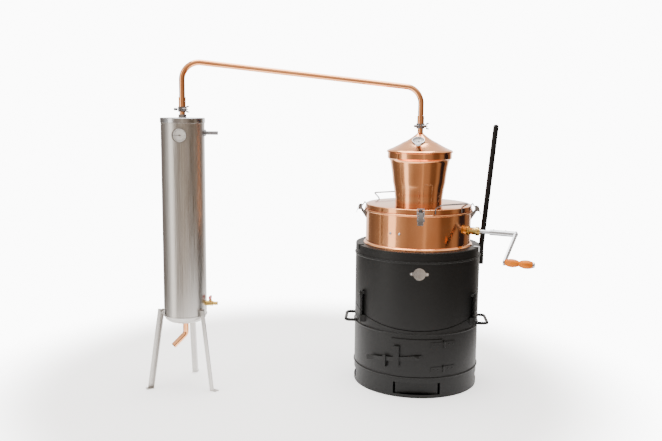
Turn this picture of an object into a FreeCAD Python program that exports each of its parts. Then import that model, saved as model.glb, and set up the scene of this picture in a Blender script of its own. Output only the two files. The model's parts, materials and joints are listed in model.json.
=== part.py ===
import FreeCAD, Part
import math
import os
import re

import Sketcher

# A tilting copper pot still: a wood-fired steel stove, a copper pot that tips
# forward on two pins, a lid with a hat, a vapour pipe and a stainless condenser
# on three legs.
#
# The origin is on the floor under the middle of the stove. +Z is up, the fire
# door faces -Y and the crank points towards +X. An azimuth is an angle in
# degrees seen from above, from the front (-Y) towards +X.

document = FreeCAD.newDocument("AlembicStill")
sheet = document.addObject("Spreadsheet::Sheet", "Sizes")
sub_parts = []

# ---------------------------------------------------------------- the sizes
# Every row is an alias, its value in millimetres or degrees, and its meaning.

SIZES = [
    # stove
    ("stove_radius", 245, "outside of the stove's sheet"),
    ("stove_wall", 2, "thickness of the stove's sheet"),
    ("base_height", 75, "height of the base ring"),
    ("ledge_width", 28, "ledge in the base ring that carries the grate"),
    ("bead_rise", 3.5, "how far a rolled bead stands out"),
    ("bead_half", 4, "half the height of a rolled bead"),
    ("lower_bead_drop", 90, "how far the lower shell's bead lies below the parting"),
    ("upper_bead_drop", 38, "how far the upper jacket's bead lies below its top"),
    ("parting_height", 336, "height of the parting plane at the axis"),
    ("parting_slope", 17.22, "how steeply the parting plane rises to the rear"),
    ("parting_gap", 3, "gap between the shells, square to the parting plane"),
    ("jacket_top", 556, "top face of the jacket's ring"),
    ("ring_thickness", 3, "thickness of the jacket's top ring"),
    ("ash_half_angle", 21.2, "half the angle of the ash opening"),
    ("ash_low", 13, "lower edge of the ash opening"),
    ("ash_height", 45, "height of the ash opening"),
    ("vent_half_angle", 15, "half the angle of a side vent"),
    ("vent_low", 15, "lower edge of a side vent"),
    ("vent_height", 35, "height of a side vent"),
    ("grate_thickness", 8, "thickness of the cast grate"),
    ("grate_play", 4, "gap round the grate"),
    ("slot_length", 320, "length of a slot in the grate"),
    ("slot_width", 13, "width of a slot in the grate"),
    ("slot_pitch", 26, "distance from slot to slot"),
    ("flue_radius", 59, "outside of the flue collar"),
    ("flue_drop", 16, "how far the flue collar's axis lies below the parting"),
    ("flue_out", 55, "how far the flue collar stands out"),
    ("tray_width", 160, "width of the ash tray"),
    ("tray_depth", 400, "depth of the ash tray, front to back"),
    ("tray_front", 225, "distance of the tray's front from the axis"),
    ("tray_rim", 55, "height of the tray's rim"),
    ("tray_wall", 1.5, "thickness of the tray's sheet"),
    ("runner_width", 15, "width of a tray runner"),
    ("runner_offset", 62, "distance of a runner from the middle"),
    ("rod_radius", 6, "radius of the side handles' rod"),
    ("handle_height", 250, "height of the side handles"),
    ("handle_half", 65, "half the distance between a handle's legs"),
    ("handle_out", 34, "how far a side handle's bar stands out"),
    ("handle_bend", 16, "bend radius of a side handle"),
    # tilting
    ("tilt_forward", 130, "distance of the tilt pins in front of the axis"),
    ("tilt_rise", 40, "how far the tilt pins lie above the parting"),
    ("pin_radius", 6, "radius of a tilt pin"),
    ("ear_inner", 215.2, "inner face of a tilt ear"),
    ("ear_thickness", 4.8, "thickness of a tilt ear"),
    ("ear_half", 12, "half the width of a tilt ear"),
    ("ear_block_height", 27, "height of the ear's welded block"),
    ("ear_weld_drop", 46, "how far that block's upper end lies below the parting"),
    ("stub_radius", 10.65, "outside of the lever's stub and tube"),
    ("stub_length", 70, "length of the lever's stub"),
    ("stub_drop", 16, "how far the stub's upper end lies below the jacket's top"),
    ("spigot_radius", 8, "radius of the spigot that the lever slides on"),
    ("spigot_length", 75, "length of the spigot"),
    ("lever_length", 486, "length of the tilt lever"),
    ("lever_lean", 5, "outward lean of the tilt lever"),
    ("lever_turn", 6.5, "angle of the tilt lever behind the stove's right side"),
    # fire door
    ("door_left", 23.4, "azimuth of the door's left edge, to the left"),
    ("door_right", 22.2, "azimuth of the door's right edge"),
    ("door_rise", 9, "how far the door's lower edge lies above the base ring"),
    ("door_height", 144, "height of the door"),
    ("door_lap", 6, "how far the door laps over its opening"),
    ("door_gap", 1, "gap between the shell and the door"),
    ("door_thickness", 3, "thickness of the door"),
    ("hinge_angle", 23.7, "azimuth of the door's hinge axis"),
    ("hinge_out", 5, "distance of the hinge axis from the stove's sheet"),
    ("lower_hinge_rise", 28, "how far the lower hinge lies above the door's lower edge"),
    ("upper_hinge_drop", 21, "how far the upper hinge lies below the door's upper edge"),
    ("hinge_half", 11, "half the height of a hinge"),
    ("knuckle_radius", 4.5, "outside of a hinge knuckle"),
    ("knuckle_half", 5, "half the height of the door's knuckle"),
    ("hinge_pin", 2, "radius of a hinge pin"),
    ("strap_angle", 12, "angle that a hinge strap covers on each side"),
    ("strap_thickness", 2, "thickness of a hinge strap"),
    ("bar_rise", 76, "how far the latch bar's pivot lies above the door's lower edge"),
    ("bar_droop", 7, "droop of the latch bar at rest"),
    ("bar_half", 8, "half the height of the latch bar"),
    ("bar_thickness", 4, "thickness of the latch bar"),
    ("bar_gap", 2.2, "gap between the door and the latch bar"),
    ("bar_left", 40, "azimuth where the latch bar bends outwards, to the left"),
    ("bar_right", 4, "azimuth of the latch bar's right end"),
    ("bar_lift_end", 34, "length of the latch bar's bent end"),
    ("bar_bolt", 4, "radius of the latch bar's pivot bolt"),
    ("staple_angle", 18, "azimuth of the guide staple, to the left"),
    ("staple_half_angle", 2.45, "half the angle that the staple covers"),
    ("staple_below", 38, "how far the staple reaches below the bar's pivot"),
    ("staple_above", 41, "how far the staple reaches above the bar's pivot"),
    ("staple_strip", 2, "thickness of the staple's strip"),
    ("staple_leg", 4, "height of a leg of the staple"),
    ("keeper_angle", 29, "azimuth of the keeper hook, to the left"),
    ("keeper_width", 13, "width of the keeper"),
    ("keeper_height", 46, "height of the keeper"),
    # pot
    ("pot_radius", 206, "outside of the pot"),
    ("pot_wall", 2, "thickness of the pot's copper"),
    ("pot_depth", 270, "depth of the pot, from its rim to its lowest point"),
    ("pot_dish", 16, "rise of the pot's bottom to its corner"),
    ("pot_corner", 36, "width of the pot's rounded corner"),
    ("pot_rise", 136, "how far the pot's rolled rim stands above the jacket"),
    ("rim_out", 6, "how far the rolled rim stands out"),
    ("rim_height", 8, "height of the rolled rim"),
    ("flange_out", 8, "how far the flange stands out that the pot hangs by"),
    ("flange_height", 9, "height of that flange"),
    ("pot_play", 1, "gap between the pot and the jacket's ring"),
    # lid and hat
    ("gasket_thickness", 1.5, "thickness of the lid's gasket"),
    ("lid_inset", 1, "how far the lid's lower flange ends inside the pot's rim"),
    ("lid_height", 20, "height of the lid's shoulder over the pot's rim"),
    ("lid_dome", 6, "rise of the lid from its shoulder to its collar"),
    ("lid_wall", 2, "thickness of the lid"),
    ("collar_radius", 93, "outside of the collar"),
    ("collar_wall", 1.5, "thickness of the collar and the hat"),
    ("collar_height", 20, "height of the collar"),
    ("spigot_depth", 20, "how deep the hat's spigot goes into the collar"),
    ("fit_gap", 0.3, "gap between pieces that part by hand"),
    ("face_gap", 0.2, "gap between a fitted piece and the curved wall beside it"),
    ("running_gap", 0.05, "radial gap of a running fit"),
    ("hat_waist", 103, "radius of the hat's taper at its middle"),
    ("waist_rise", 58, "height of that middle over the collar"),
    ("hat_top_radius", 114, "radius at the top of the hat's taper"),
    ("taper_height", 137, "height of the taper"),
    ("band_radius", 125, "radius of the hat's straight band"),
    ("band_rise", 16, "rise from the taper to the band"),
    ("band_height", 21, "height of the band"),
    ("brim_radius", 129, "outside of the hat's flared rim"),
    ("brim_height", 6, "height of the flared rim"),
    ("roof_base_radius", 126, "radius at the foot of the hat's roof"),
    ("roof_rise", 4, "rise from the flared rim to the roof's foot"),
    ("roof_mid_radius", 66, "radius at the middle of the roof"),
    ("roof_mid_rise", 30, "height of the roof's middle over its foot"),
    ("roof_height", 66, "height of the roof"),
    ("tube_radius", 11, "outside of the vapour pipe and its necks"),
    ("tube_wall", 1, "thickness of the vapour pipe"),
    ("neck_height", 40, "height of the hat's neck"),
    ("lid_rod", 3, "radius of the lid handles' rod"),
    ("lid_handle_angle", 32, "azimuth of the right lid handle"),
    ("lid_handle_half", 60, "half the length of a lid handle"),
    ("lid_handle_reach", 38, "how far a lid handle stands out"),
    ("lid_handle_rise", 22, "height of a lid handle's bar over the lid's shoulder"),
    # vapour pipe
    ("sleeve_radius", 13.5, "outside of a pipe sleeve"),
    ("head_sleeve_lap", 23, "how far the sleeve laps over the hat's neck"),
    ("head_sleeve_rise", 26, "how far that sleeve stands above the neck"),
    ("right_riser", 132, "height of the pipe's corner over the hat's neck"),
    ("left_riser", 167, "height of its corner over the condenser's neck"),
    ("pipe_bend", 65, "bend radius of the pipe"),
    ("pipe_seat", 2, "gap between a neck's end and the pipe's end"),
    ("clamp_height", 19, "height of a clamp"),
    ("clamp_wall", 3, "thickness of a clamp's band"),
    ("clamp_bolt", 2.5, "radius of a clamp's bolt"),
    ("clamp_bolt_offset", 21.5, "distance of a clamp's bolt in front of the pipe"),
    ("clamp_bolt_reach", 27, "length of a clamp's bolt to either side"),
    ("nut_near", 7, "inner end of a wing nut, from the pipe's axis"),
    ("nut_far", 20, "outer end of a wing nut's hub"),
    ("wing_near", 18, "inner end of the nut's wings"),
    ("wing_far", 32, "outer end of the nut's wings"),
    # crank and stirrer
    ("crank_angle", 66, "azimuth of the crank's axis"),
    ("crank_rise", 64, "height of the crank's axis over the jacket"),
    ("shaft_radius", 7.5, "radius of the crank's shaft"),
    ("gland_thread", 12, "radius of the gland where it passes the pot"),
    ("gland_flange", 18, "radius of the gland's flange"),
    ("gland_length", 49, "how far the gland stands out of the pot"),
    ("hub_radius", 10.8, "outside of the crank's hub tube"),
    ("hub_gap", 38, "distance from the gland's end to the hub tube"),
    ("hub_length", 102, "distance from the hub tube's inner end to the arm's face"),
    ("arm_thickness", 6, "thickness of the crank's arm"),
    ("arm_half", 12, "half the width of the crank's arm"),
    ("crank_throw", 165, "length of the crank's arm, centre to centre"),
    ("crank_rest", 209.7, "angle of the arm at rest, about its axis"),
    ("grip_length", 100, "length of the grip"),
    ("grip_bulge", 14, "radius of the grip's bulges"),
    ("grip_waist", 9, "radius of the grip's waist"),
    ("spindle_radius", 4, "radius of the grip's spindle"),
    ("gear_radius", 24, "pitch radius of the bevel gears"),
    ("gear_teeth", 16, "teeth of each bevel gear"),
    ("gear_shaft", 6, "radius of the stirrer's shaft"),
    ("bridge_angle", -27, "azimuth of the stirrer bridge"),
    ("bridge_half", 15, "half the width of the stirrer bridge"),
    ("bridge_thickness", 4, "thickness of the stirrer bridge"),
    ("bridge_drop", 43, "how far the bridge lies below the crank's axis"),
    ("bridge_clear", 3, "gap between the bridge's ends and the pot's wall"),
    ("bush_depth", 16, "how far the bridge's bush hangs below it"),
    ("bridge_screw_drop", 3, "how far the bridge's screws lie below the crank's axis"),
    ("bridge_screw_angle", 5.1, "half the angle between those screws"),
    ("blade_inset", 56, "distance from the blade's end to the pot's outside"),
    ("blade_clear", 7, "gap between the blade and the pot's bottom"),
    ("blade_thickness", 3, "thickness of the blade"),
    ("blade_height", 46, "height of the blade's arms"),
    ("blade_middle", 24, "height of the blade at the shaft"),
    ("blade_arm", 22, "width of the blade's arms at their top"),
    # lid latches
    ("latch_pivot_out", 15, "distance of a latch's pivot from the pot's rim"),
    ("latch_pivot_rise", 10, "height of a latch's pivot over the rim"),
    ("latch_pin", 1.5, "radius of the latch pins and wire"),
    ("latch_half", 13, "half the width of a latch's wire loop"),
    ("latch_lever_half", 8.5, "half the width of a latch's lever"),
    ("latch_sheet", 1.5, "thickness of a latch's sheet"),
    ("loop_pivot_out", 4.5, "how far the loop's pivot lies outside the pivot"),
    ("loop_pivot_drop", 14, "how far the loop's pivot lies below the pivot"),
    ("loop_top_rise", 3, "height of the loop's top bar over the lid's shoulder"),
    # plate and fasteners
    ("plate_drop", 79, "how far the name plate lies below the jacket's top"),
    ("plate_radius", 23, "radius of the name plate's disc"),
    ("plate_half", 35.5, "half the length of the name plate"),
    ("plate_ear", 6.5, "half the height of the plate's ears"),
    ("plate_thickness", 1.5, "thickness of the name plate"),
    ("clip_angle", 71, "azimuth of the two front hold-down clips"),
    ("clip_half", 9, "half the width of a hold-down clip"),
    ("clip_thickness", 2, "thickness of a hold-down clip"),
    # condenser
    ("tank_offset", 898.6, "distance of the condenser to the left"),
    ("tank_forward", 166.1, "distance of the condenser in front of the stove's axis"),
    ("tank_radius", 82, "outside of the condenser's tank"),
    ("tank_wall", 1.5, "thickness of the tank"),
    ("tank_low", 286, "lower edge of the tank"),
    ("tank_height", 736, "height of the tank up to its top cap"),
    ("cap_height", 18, "height of the tank's cap"),
    ("cap_out", 2, "how far the cap and the lower bead stand out"),
    ("dish_depth", 28, "depth of the tank's base"),
    ("tank_neck_height", 45, "height of the condenser's neck"),
    ("tank_sleeve_lap", 24, "how far the sleeve laps over the condenser's neck"),
    ("tank_sleeve_rise", 32, "how far that sleeve stands above the neck"),
    ("hex_across", 27, "width of the neck's hexagon nut"),
    ("coil_inset", 28, "distance from the coil's middle line to the tank's outside"),
    ("coil_tube", 6, "outside radius of the coil's tube"),
    ("coil_rise", 34, "how far the coil starts above the tank's lower edge"),
    ("coil_drop", 42, "how far the coil ends below the tank's cap"),
    ("coil_turns", 11, "turns of the coil"),
    ("nipple_drop", 38, "how far the water nipple lies below the tank's cap"),
    ("nipple_radius", 7.5, "outside of the water nipple"),
    ("nipple_length", 52, "length of the water nipple"),
    ("valve_rise", 41, "how far the drain valve lies above the tank's lower edge"),
    ("valve_length", 45, "length of the drain valve"),
    ("valve_radius", 7, "outside of the drain valve's nozzle"),
    ("valve_body", 10, "outside of the drain valve's body"),
    ("valve_stem", 3, "radius of the valve's stem"),
    ("valve_out", 16, "distance of the valve's stem from the tank"),
    ("valve_shoulder", 26, "length of the valve's thick body"),
    ("leg_spread", 50, "how far a foot stands out from the tank"),
    ("leg_rise", 14, "how far the legs' brackets reach above the tank's lower edge"),
    ("leg_side", 20, "side of the legs' angle iron"),
    ("leg_thickness", 2.5, "thickness of the angle iron"),
    ("spout_drop", 54, "how far below the tank the spout turns"),
    ("spout_side", 40, "how far the spout's end lies to the left"),
    ("spout_front", 35, "how far the spout's end lies to the front"),
    ("spout_fall", 41, "how far the spout falls after its turn"),
    ("spout_bend", 18, "bend radius of the spout"),
    # thermometers
    ("hat_dial", 24, "radius of the hat's thermometer"),
    ("hat_dial_reach", 88, "distance of its stem's foot from the axis"),
    ("dial_foot_rise", 20, "height of its stem's foot over the roof's foot"),
    ("hat_dial_angle", -6, "azimuth of the hat's thermometer"),
    ("hat_dial_lean", 31, "lean of its stem from upright"),
    ("tank_dial", 27.5, "radius of the tank's thermometer"),
    ("tank_dial_drop", 45, "how far the tank's thermometer lies below the cap"),
    ("tank_dial_angle", 7.5, "azimuth of the tank's thermometer"),
    ("stem_length", 16, "length of a thermometer's stem"),
    ("probe_radius", 2.5, "radius of a thermometer's probe"),
    ("needle_pin", 1.2, "radius of the pin that a needle turns on"),
    ("stem_radius", 5, "radius of a thermometer's stem"),
    ("case_depth", 11, "depth of a thermometer's case"),
]

# Heights and reaches that follow from the sizes, so that what a piece carries
# moves with it. Expressions name them as they name the sizes.

FOLLOWING = {
    "lower_bead": "parting_height - lower_bead_drop",
    "upper_bead": "jacket_top - upper_bead_drop",
    "ash_high": "ash_low + ash_height",
    "vent_high": "vent_low + vent_height",
    "flue_height": "parting_height - flue_drop",
    "flue_reach": "stove_radius + flue_out",
    "handle_reach": "stove_radius + handle_out",
    "tilt_height": "parting_height + tilt_rise",
    "ear_low": "ear_weld - ear_block_height",
    "ear_weld": "parting_height - ear_weld_drop",
    "stub_low": "stub_high - stub_length",
    "stub_high": "jacket_top - stub_drop",
    "door_low": "base_height + door_rise",
    "door_high": "door_low + door_height",
    "hinge_radius": "stove_radius + hinge_out",
    "hinge_low": "door_low + lower_hinge_rise",
    "hinge_high": "door_high - upper_hinge_drop",
    "bar_height": "door_low + bar_rise",
    "staple_low": "bar_height - staple_below",
    "staple_high": "bar_height + staple_above",
    "keeper_low": "bar_height - keeper_height",
    "keeper_high": "bar_height",
    "pot_bottom": "pot_rim - pot_depth",
    "pot_rim": "jacket_top + pot_rise",
    "rim_radius": "pot_radius + rim_out",
    "flange_radius": "pot_radius + flange_out",
    "lid_flange": "rim_radius - lid_inset",
    "lid_skirt": "pot_rim + lid_height",
    "lid_crown": "lid_skirt + lid_dome",
    "collar_top": "lid_crown + collar_height",
    "hat_waist_height": "collar_top + waist_rise",
    "hat_top": "collar_top + taper_height",
    "band_low": "hat_top + band_rise",
    "band_high": "band_low + band_height",
    "brim_high": "band_high + brim_height",
    "roof_base": "brim_high + roof_rise",
    "roof_mid": "roof_base + roof_mid_rise",
    "roof_top": "roof_base + roof_height",
    "neck_top": "roof_top + neck_height",
    "lid_handle_height": "lid_skirt + lid_handle_rise",
    "head_sleeve_low": "neck_top - head_sleeve_lap",
    "head_sleeve_high": "neck_top + head_sleeve_rise",
    "pipe_right_corner": "neck_top + right_riser",
    "pipe_left_corner": "neck_high + left_riser",
    "crank_height": "jacket_top + crank_rise",
    "gland_end": "pot_radius + gland_length",
    "hub_start": "gland_end + hub_gap",
    "arm_face": "hub_start + hub_length",
    "bridge_screw": "crank_height - bridge_screw_drop",
    "blade_reach": "pot_radius - blade_inset",
    "latch_pivot_reach": "rim_radius + latch_pivot_out",
    "loop_top_reach": "lid_flange",
    "plate_height": "jacket_top - plate_drop",
    "tank_high": "tank_low + tank_height",
    "cap_top": "tank_high + cap_height",
    "cap_radius": "tank_radius + cap_out",
    "dish_low": "tank_low - dish_depth",
    "neck_high": "cap_top + tank_neck_height",
    "tank_sleeve_low": "neck_high - tank_sleeve_lap",
    "tank_sleeve_high": "neck_high + tank_sleeve_rise",
    "coil_radius": "tank_radius - coil_inset",
    "coil_low": "tank_low + coil_rise",
    "coil_high": "tank_high - coil_drop",
    "nipple_height": "tank_high - nipple_drop",
    "valve_height": "tank_low + valve_rise",
    "leg_foot": "tank_radius + leg_spread",
    "leg_top": "tank_low + leg_rise",
    "spout_corner": "dish_low - spout_drop",
    "spout_end": "spout_corner - spout_fall",
    "hat_dial_foot": "roof_base + dial_foot_rise",
    "tank_dial_height": "tank_high - tank_dial_drop",
}

aliases = {}
for row, (alias, number, meaning) in enumerate(SIZES, start=1):
    sheet.set("A%d" % row, meaning)
    sheet.set("B%d" % row, str(number))
    sheet.setAlias("B%d" % row, alias)
    aliases[alias] = "Sizes." + alias
document.recompute()


# -------------------------------------------------------------- small helpers

def spelled_out(word):
    """A word of an expression in the sheet's terms: an alias, or what a level follows from."""
    name = word.group()
    if name in FOLLOWING:
        return "(%s)" % bound(FOLLOWING[name])
    return aliases.get(name, name)


def bound(text):
    """Puts the sheet's name before each alias of an expression."""
    return re.sub(r"[A-Za-z_]+", spelled_out, text)


def value(text):
    """The number that an expression has now."""
    number = sheet.evalExpression(bound(text))
    return float(getattr(number, "Value", number))


def bind(item, **links):
    """Binds properties of an object to expressions of the sheet."""
    for name, text in links.items():
        item.setExpression(name, bound(text))


def place(item, x="0", y="0", z="0", turn="0", nod="0", lean="0", spin=None):
    """Places an object: spun about its own Z, leant about X, nodded about Y, turned about Z."""
    rotation = "create(<<rotation>>; %s; %s; %s)" % (turn, nod, lean)
    if spin:
        rotation += " * create(<<rotation>>; %s; 0; 0)" % spin
    text = "create(<<placement>>; create(<<vector>>; %s; %s; %s); %s)" % (x, y, z, rotation)
    item.setExpression("Placement", bound(text))
    return item


def keep(item):
    """Marks an object as a sub-part. Its Label names its file."""
    sub_parts.append(item)
    return item


def draw(body, plane, outline, label):
    """Draws a closed outline whose corners are bound to the sheet.

    A corner is (x, y). A corner (x, y, radius) is reached by an arc of that
    radius that bulges to the right of the way along the outline, or to the
    left where the radius starts with a minus sign.
    """
    sketch = body.newObject("Sketcher::SketchObject", label)
    support = [item for item in body.Origin.OriginFeatures if item.Role == plane][0]
    sketch.AttachmentSupport = [(support, "")]
    sketch.MapMode = "FlatFace"
    corners = [FreeCAD.Vector(value(item[0]), value(item[1]), 0) for item in outline]
    count = len(corners)
    edges = []
    limits = []
    for index in range(count):
        start = corners[index - 1]
        end = corners[index]
        if len(outline[index]) == 2:
            edges.append(Part.LineSegment(start, end))
            continue
        text = outline[index][2]
        side = -1 if text.startswith("-") else 1
        radius = abs(value(text))
        chord = end - start
        across = FreeCAD.Vector(chord.y, -chord.x, 0).normalize() * side
        rise = radius - math.sqrt(radius ** 2 - (chord.Length / 2) ** 2)
        edges.append(Part.Arc(start, (start + end) / 2 + across * rise, end))
        limits.append((index, text.lstrip("-"), radius))
    sketch.addGeometry(edges, False)
    # a sketch keeps its arcs anticlockwise, so an arc's first end may be its last
    ends = []
    for index in range(count):
        swapped = (sketch.getPoint(index, 1) - corners[index - 1]).Length > 0.001
        ends.append((2, 1) if swapped else (1, 2))
    for index in range(count):
        sketch.addConstraint(
            Sketcher.Constraint("Coincident", index - 1 if index else count - 1,
                                ends[index - 1][1], index, ends[index][0]))
    for index, text, radius in limits:
        row = sketch.addConstraint(Sketcher.Constraint("Radius", index, radius))
        sketch.setExpression("Constraints[%d]" % row, bound(text))
    for index, item in enumerate(outline):
        for kind, axis, text, number in (("DistanceX", -2, item[0], corners[index].x),
                                         ("DistanceY", -1, item[1], corners[index].y)):
            if text == "0":
                sketch.addConstraint(Sketcher.Constraint("PointOnObject", index, ends[index][1], axis))
                continue
            row = sketch.addConstraint(
                Sketcher.Constraint(kind, -1, 1, index, ends[index][1], number))
            sketch.setExpression("Constraints[%d]" % row, bound(text))
    return sketch


def turned(label, outline, angle=None, **where):
    """A piece turned about its own Z axis from an outline of (radius, height)."""
    body = document.addObject("PartDesign::Body", label)
    sketch = draw(body, "XZ_Plane", outline, label + "_outline")
    revolution = body.newObject("PartDesign::Revolution", label + "_turned")
    revolution.Profile = sketch
    revolution.ReferenceAxis = (sketch, ["V_Axis"])
    revolution.Angle = value(angle) if angle else 360
    if angle:
        bind(revolution, Angle=angle)
    place(body, **where)
    return body


def sector(label, inner, outer, low, high, start, span, **where):
    """A piece of a ring: radii, heights, the azimuth where it starts and its angle."""
    outline = [(inner, low), (outer, low), (outer, high), (inner, high)]
    return turned(label, outline, angle=span, turn="%s - 90" % start, **where)


def ring(label, inner, outer, low, high, **where):
    return turned(label, [(inner, low), (outer, low), (outer, high), (inner, high)], **where)


def padded(label, plane, outline, length, middle=True, **where):
    """A plate cut from an outline, padded to both sides of its plane or to one."""
    body = document.addObject("PartDesign::Body", label)
    sketch = draw(body, plane, outline, label + "_outline")
    pad = body.newObject("PartDesign::Pad", label + "_pad")
    pad.Profile = sketch
    pad.SideType = "Symmetric" if middle else "One side"
    bind(pad, Length=length)
    place(body, **where)
    return body


def radial(label, outline, width, azimuth, **where):
    """A plate that stands square to the stove's side: outline of (distance, height)."""
    return padded(label, "XZ_Plane", outline, width, turn="%s - 90" % azimuth, **where)


def dome(radius, rise):
    """The radius of the ball whose cap is that wide and that high."""
    return "((%s) ^ 2 + (%s) ^ 2) / (2 * (%s))" % (radius, rise, rise)


def rectangle(left, low, right, high):
    return [(left, low), (right, low), (right, high), (left, high)]


def rod(label, radius, length, **where):
    """A plain cylinder along its own Z axis."""
    item = document.addObject("Part::Cylinder", label)
    bind(item, Radius=radius, Height=length)
    return place(item, **where)


def box(label, length, width, height, **where):
    item = document.addObject("Part::Box", label)
    bind(item, Length=length, Width=width, Height=height)
    return place(item, **where)


def cut(label, base, *tools):
    item = document.addObject("Part::Cut", label)
    item.Base = base
    item.Tool = tools[0] if len(tools) == 1 else fused(label + "_tools", *tools)
    return item


def fused(label, *items):
    item = document.addObject("Part::MultiFuse", label)
    item.Shapes = list(items)
    return item


def common(label, first, second):
    item = document.addObject("Part::MultiCommon", label)
    item.Shapes = [first, second]
    return item


def group(label, *items):
    """Separate solids of one kind that share a node."""
    item = document.addObject("Part::Compound", label)
    item.Links = list(items)
    return item


def mirrored(label, source):
    """The same piece on the other side of the YZ plane."""
    item = document.addObject("Part::Mirroring", label)
    item.Source = source
    item.Normal = FreeCAD.Vector(1, 0, 0)
    return item


def bent_path(corners, bend):
    """A wire of straight runs joined by tangent arcs of one bend radius."""
    points = [FreeCAD.Vector(*[value(text) for text in corner]) for corner in corners]
    radius = value(bend)
    edges = []
    start = points[0]
    for index in range(1, len(points) - 1):
        back = (points[index - 1] - points[index]).normalize()
        ahead = (points[index + 1] - points[index]).normalize()
        half = back.getAngle(ahead) / 2
        reach = radius / math.tan(half)
        middle = (back + ahead).normalize() * (radius / math.sin(half) - radius)
        first = points[index] + back * reach
        last = points[index] + ahead * reach
        edges.append(Part.LineSegment(start, first).toShape())
        edges.append(Part.Arc(first, points[index] + middle, last).toShape())
        start = last
    edges.append(Part.LineSegment(start, points[-1]).toShape())
    return Part.Wire(edges)


def swept(wire, radius):
    """A round bar along a wire."""
    start = wire.Edges[0].Vertexes[0].Point
    along = wire.Edges[0].tangentAt(wire.Edges[0].FirstParameter)
    section = Part.Wire(Part.Circle(start, along, radius).toShape())
    return wire.makePipeShell([section], True, True)


def bent(label, corners, bend, outer, inner=None, **where):
    """A bent rod, or a bent tube where an inner radius is given."""
    wire = bent_path(corners, bend)
    shape = swept(wire, value(outer))
    if inner:
        shape = shape.cut(swept(wire, value(inner)))
    item = document.addObject("Part::Feature", label)
    item.Shape = shape
    return place(item, **where)


# ---------------------------------------------------------------------- stove

CLEAR = "stove_radius + 60"          # a radius that is outside the whole stove
INSIDE = "stove_radius - stove_wall"
LEVER_AWAY = "stove_radius + stub_radius + face_gap"
LATCHES = [("front", "0"), ("right", "90"), ("rear", "180"), ("left", "270")]
PIVOT_OUT = "latch_pivot_reach"
PIVOT_UP = "(pot_rim + latch_pivot_rise)"


def bead(height):
    """The corners of a rolled bead on the outside of a shell, from low to high."""
    arc = "(bead_half ^ 2 + bead_rise ^ 2) / (2 * bead_rise)"
    return [("stove_radius", "%s - bead_half" % height),
            ("stove_radius", "%s + bead_half" % height, arc)]


def parting_block(label, low):
    """A block that lies along the parting plane, its lower face that far above it."""
    along = "-2 * stove_radius"
    return box(label, "4 * stove_radius", "4 * stove_radius", "2 * jacket_top", x=along,
               y="%s * cos(parting_slope) - (%s) * sin(parting_slope)" % (along, low),
               z="parting_height + %s * sin(parting_slope) + (%s) * cos(parting_slope)" % (along, low),
               lean="parting_slope")


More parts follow.
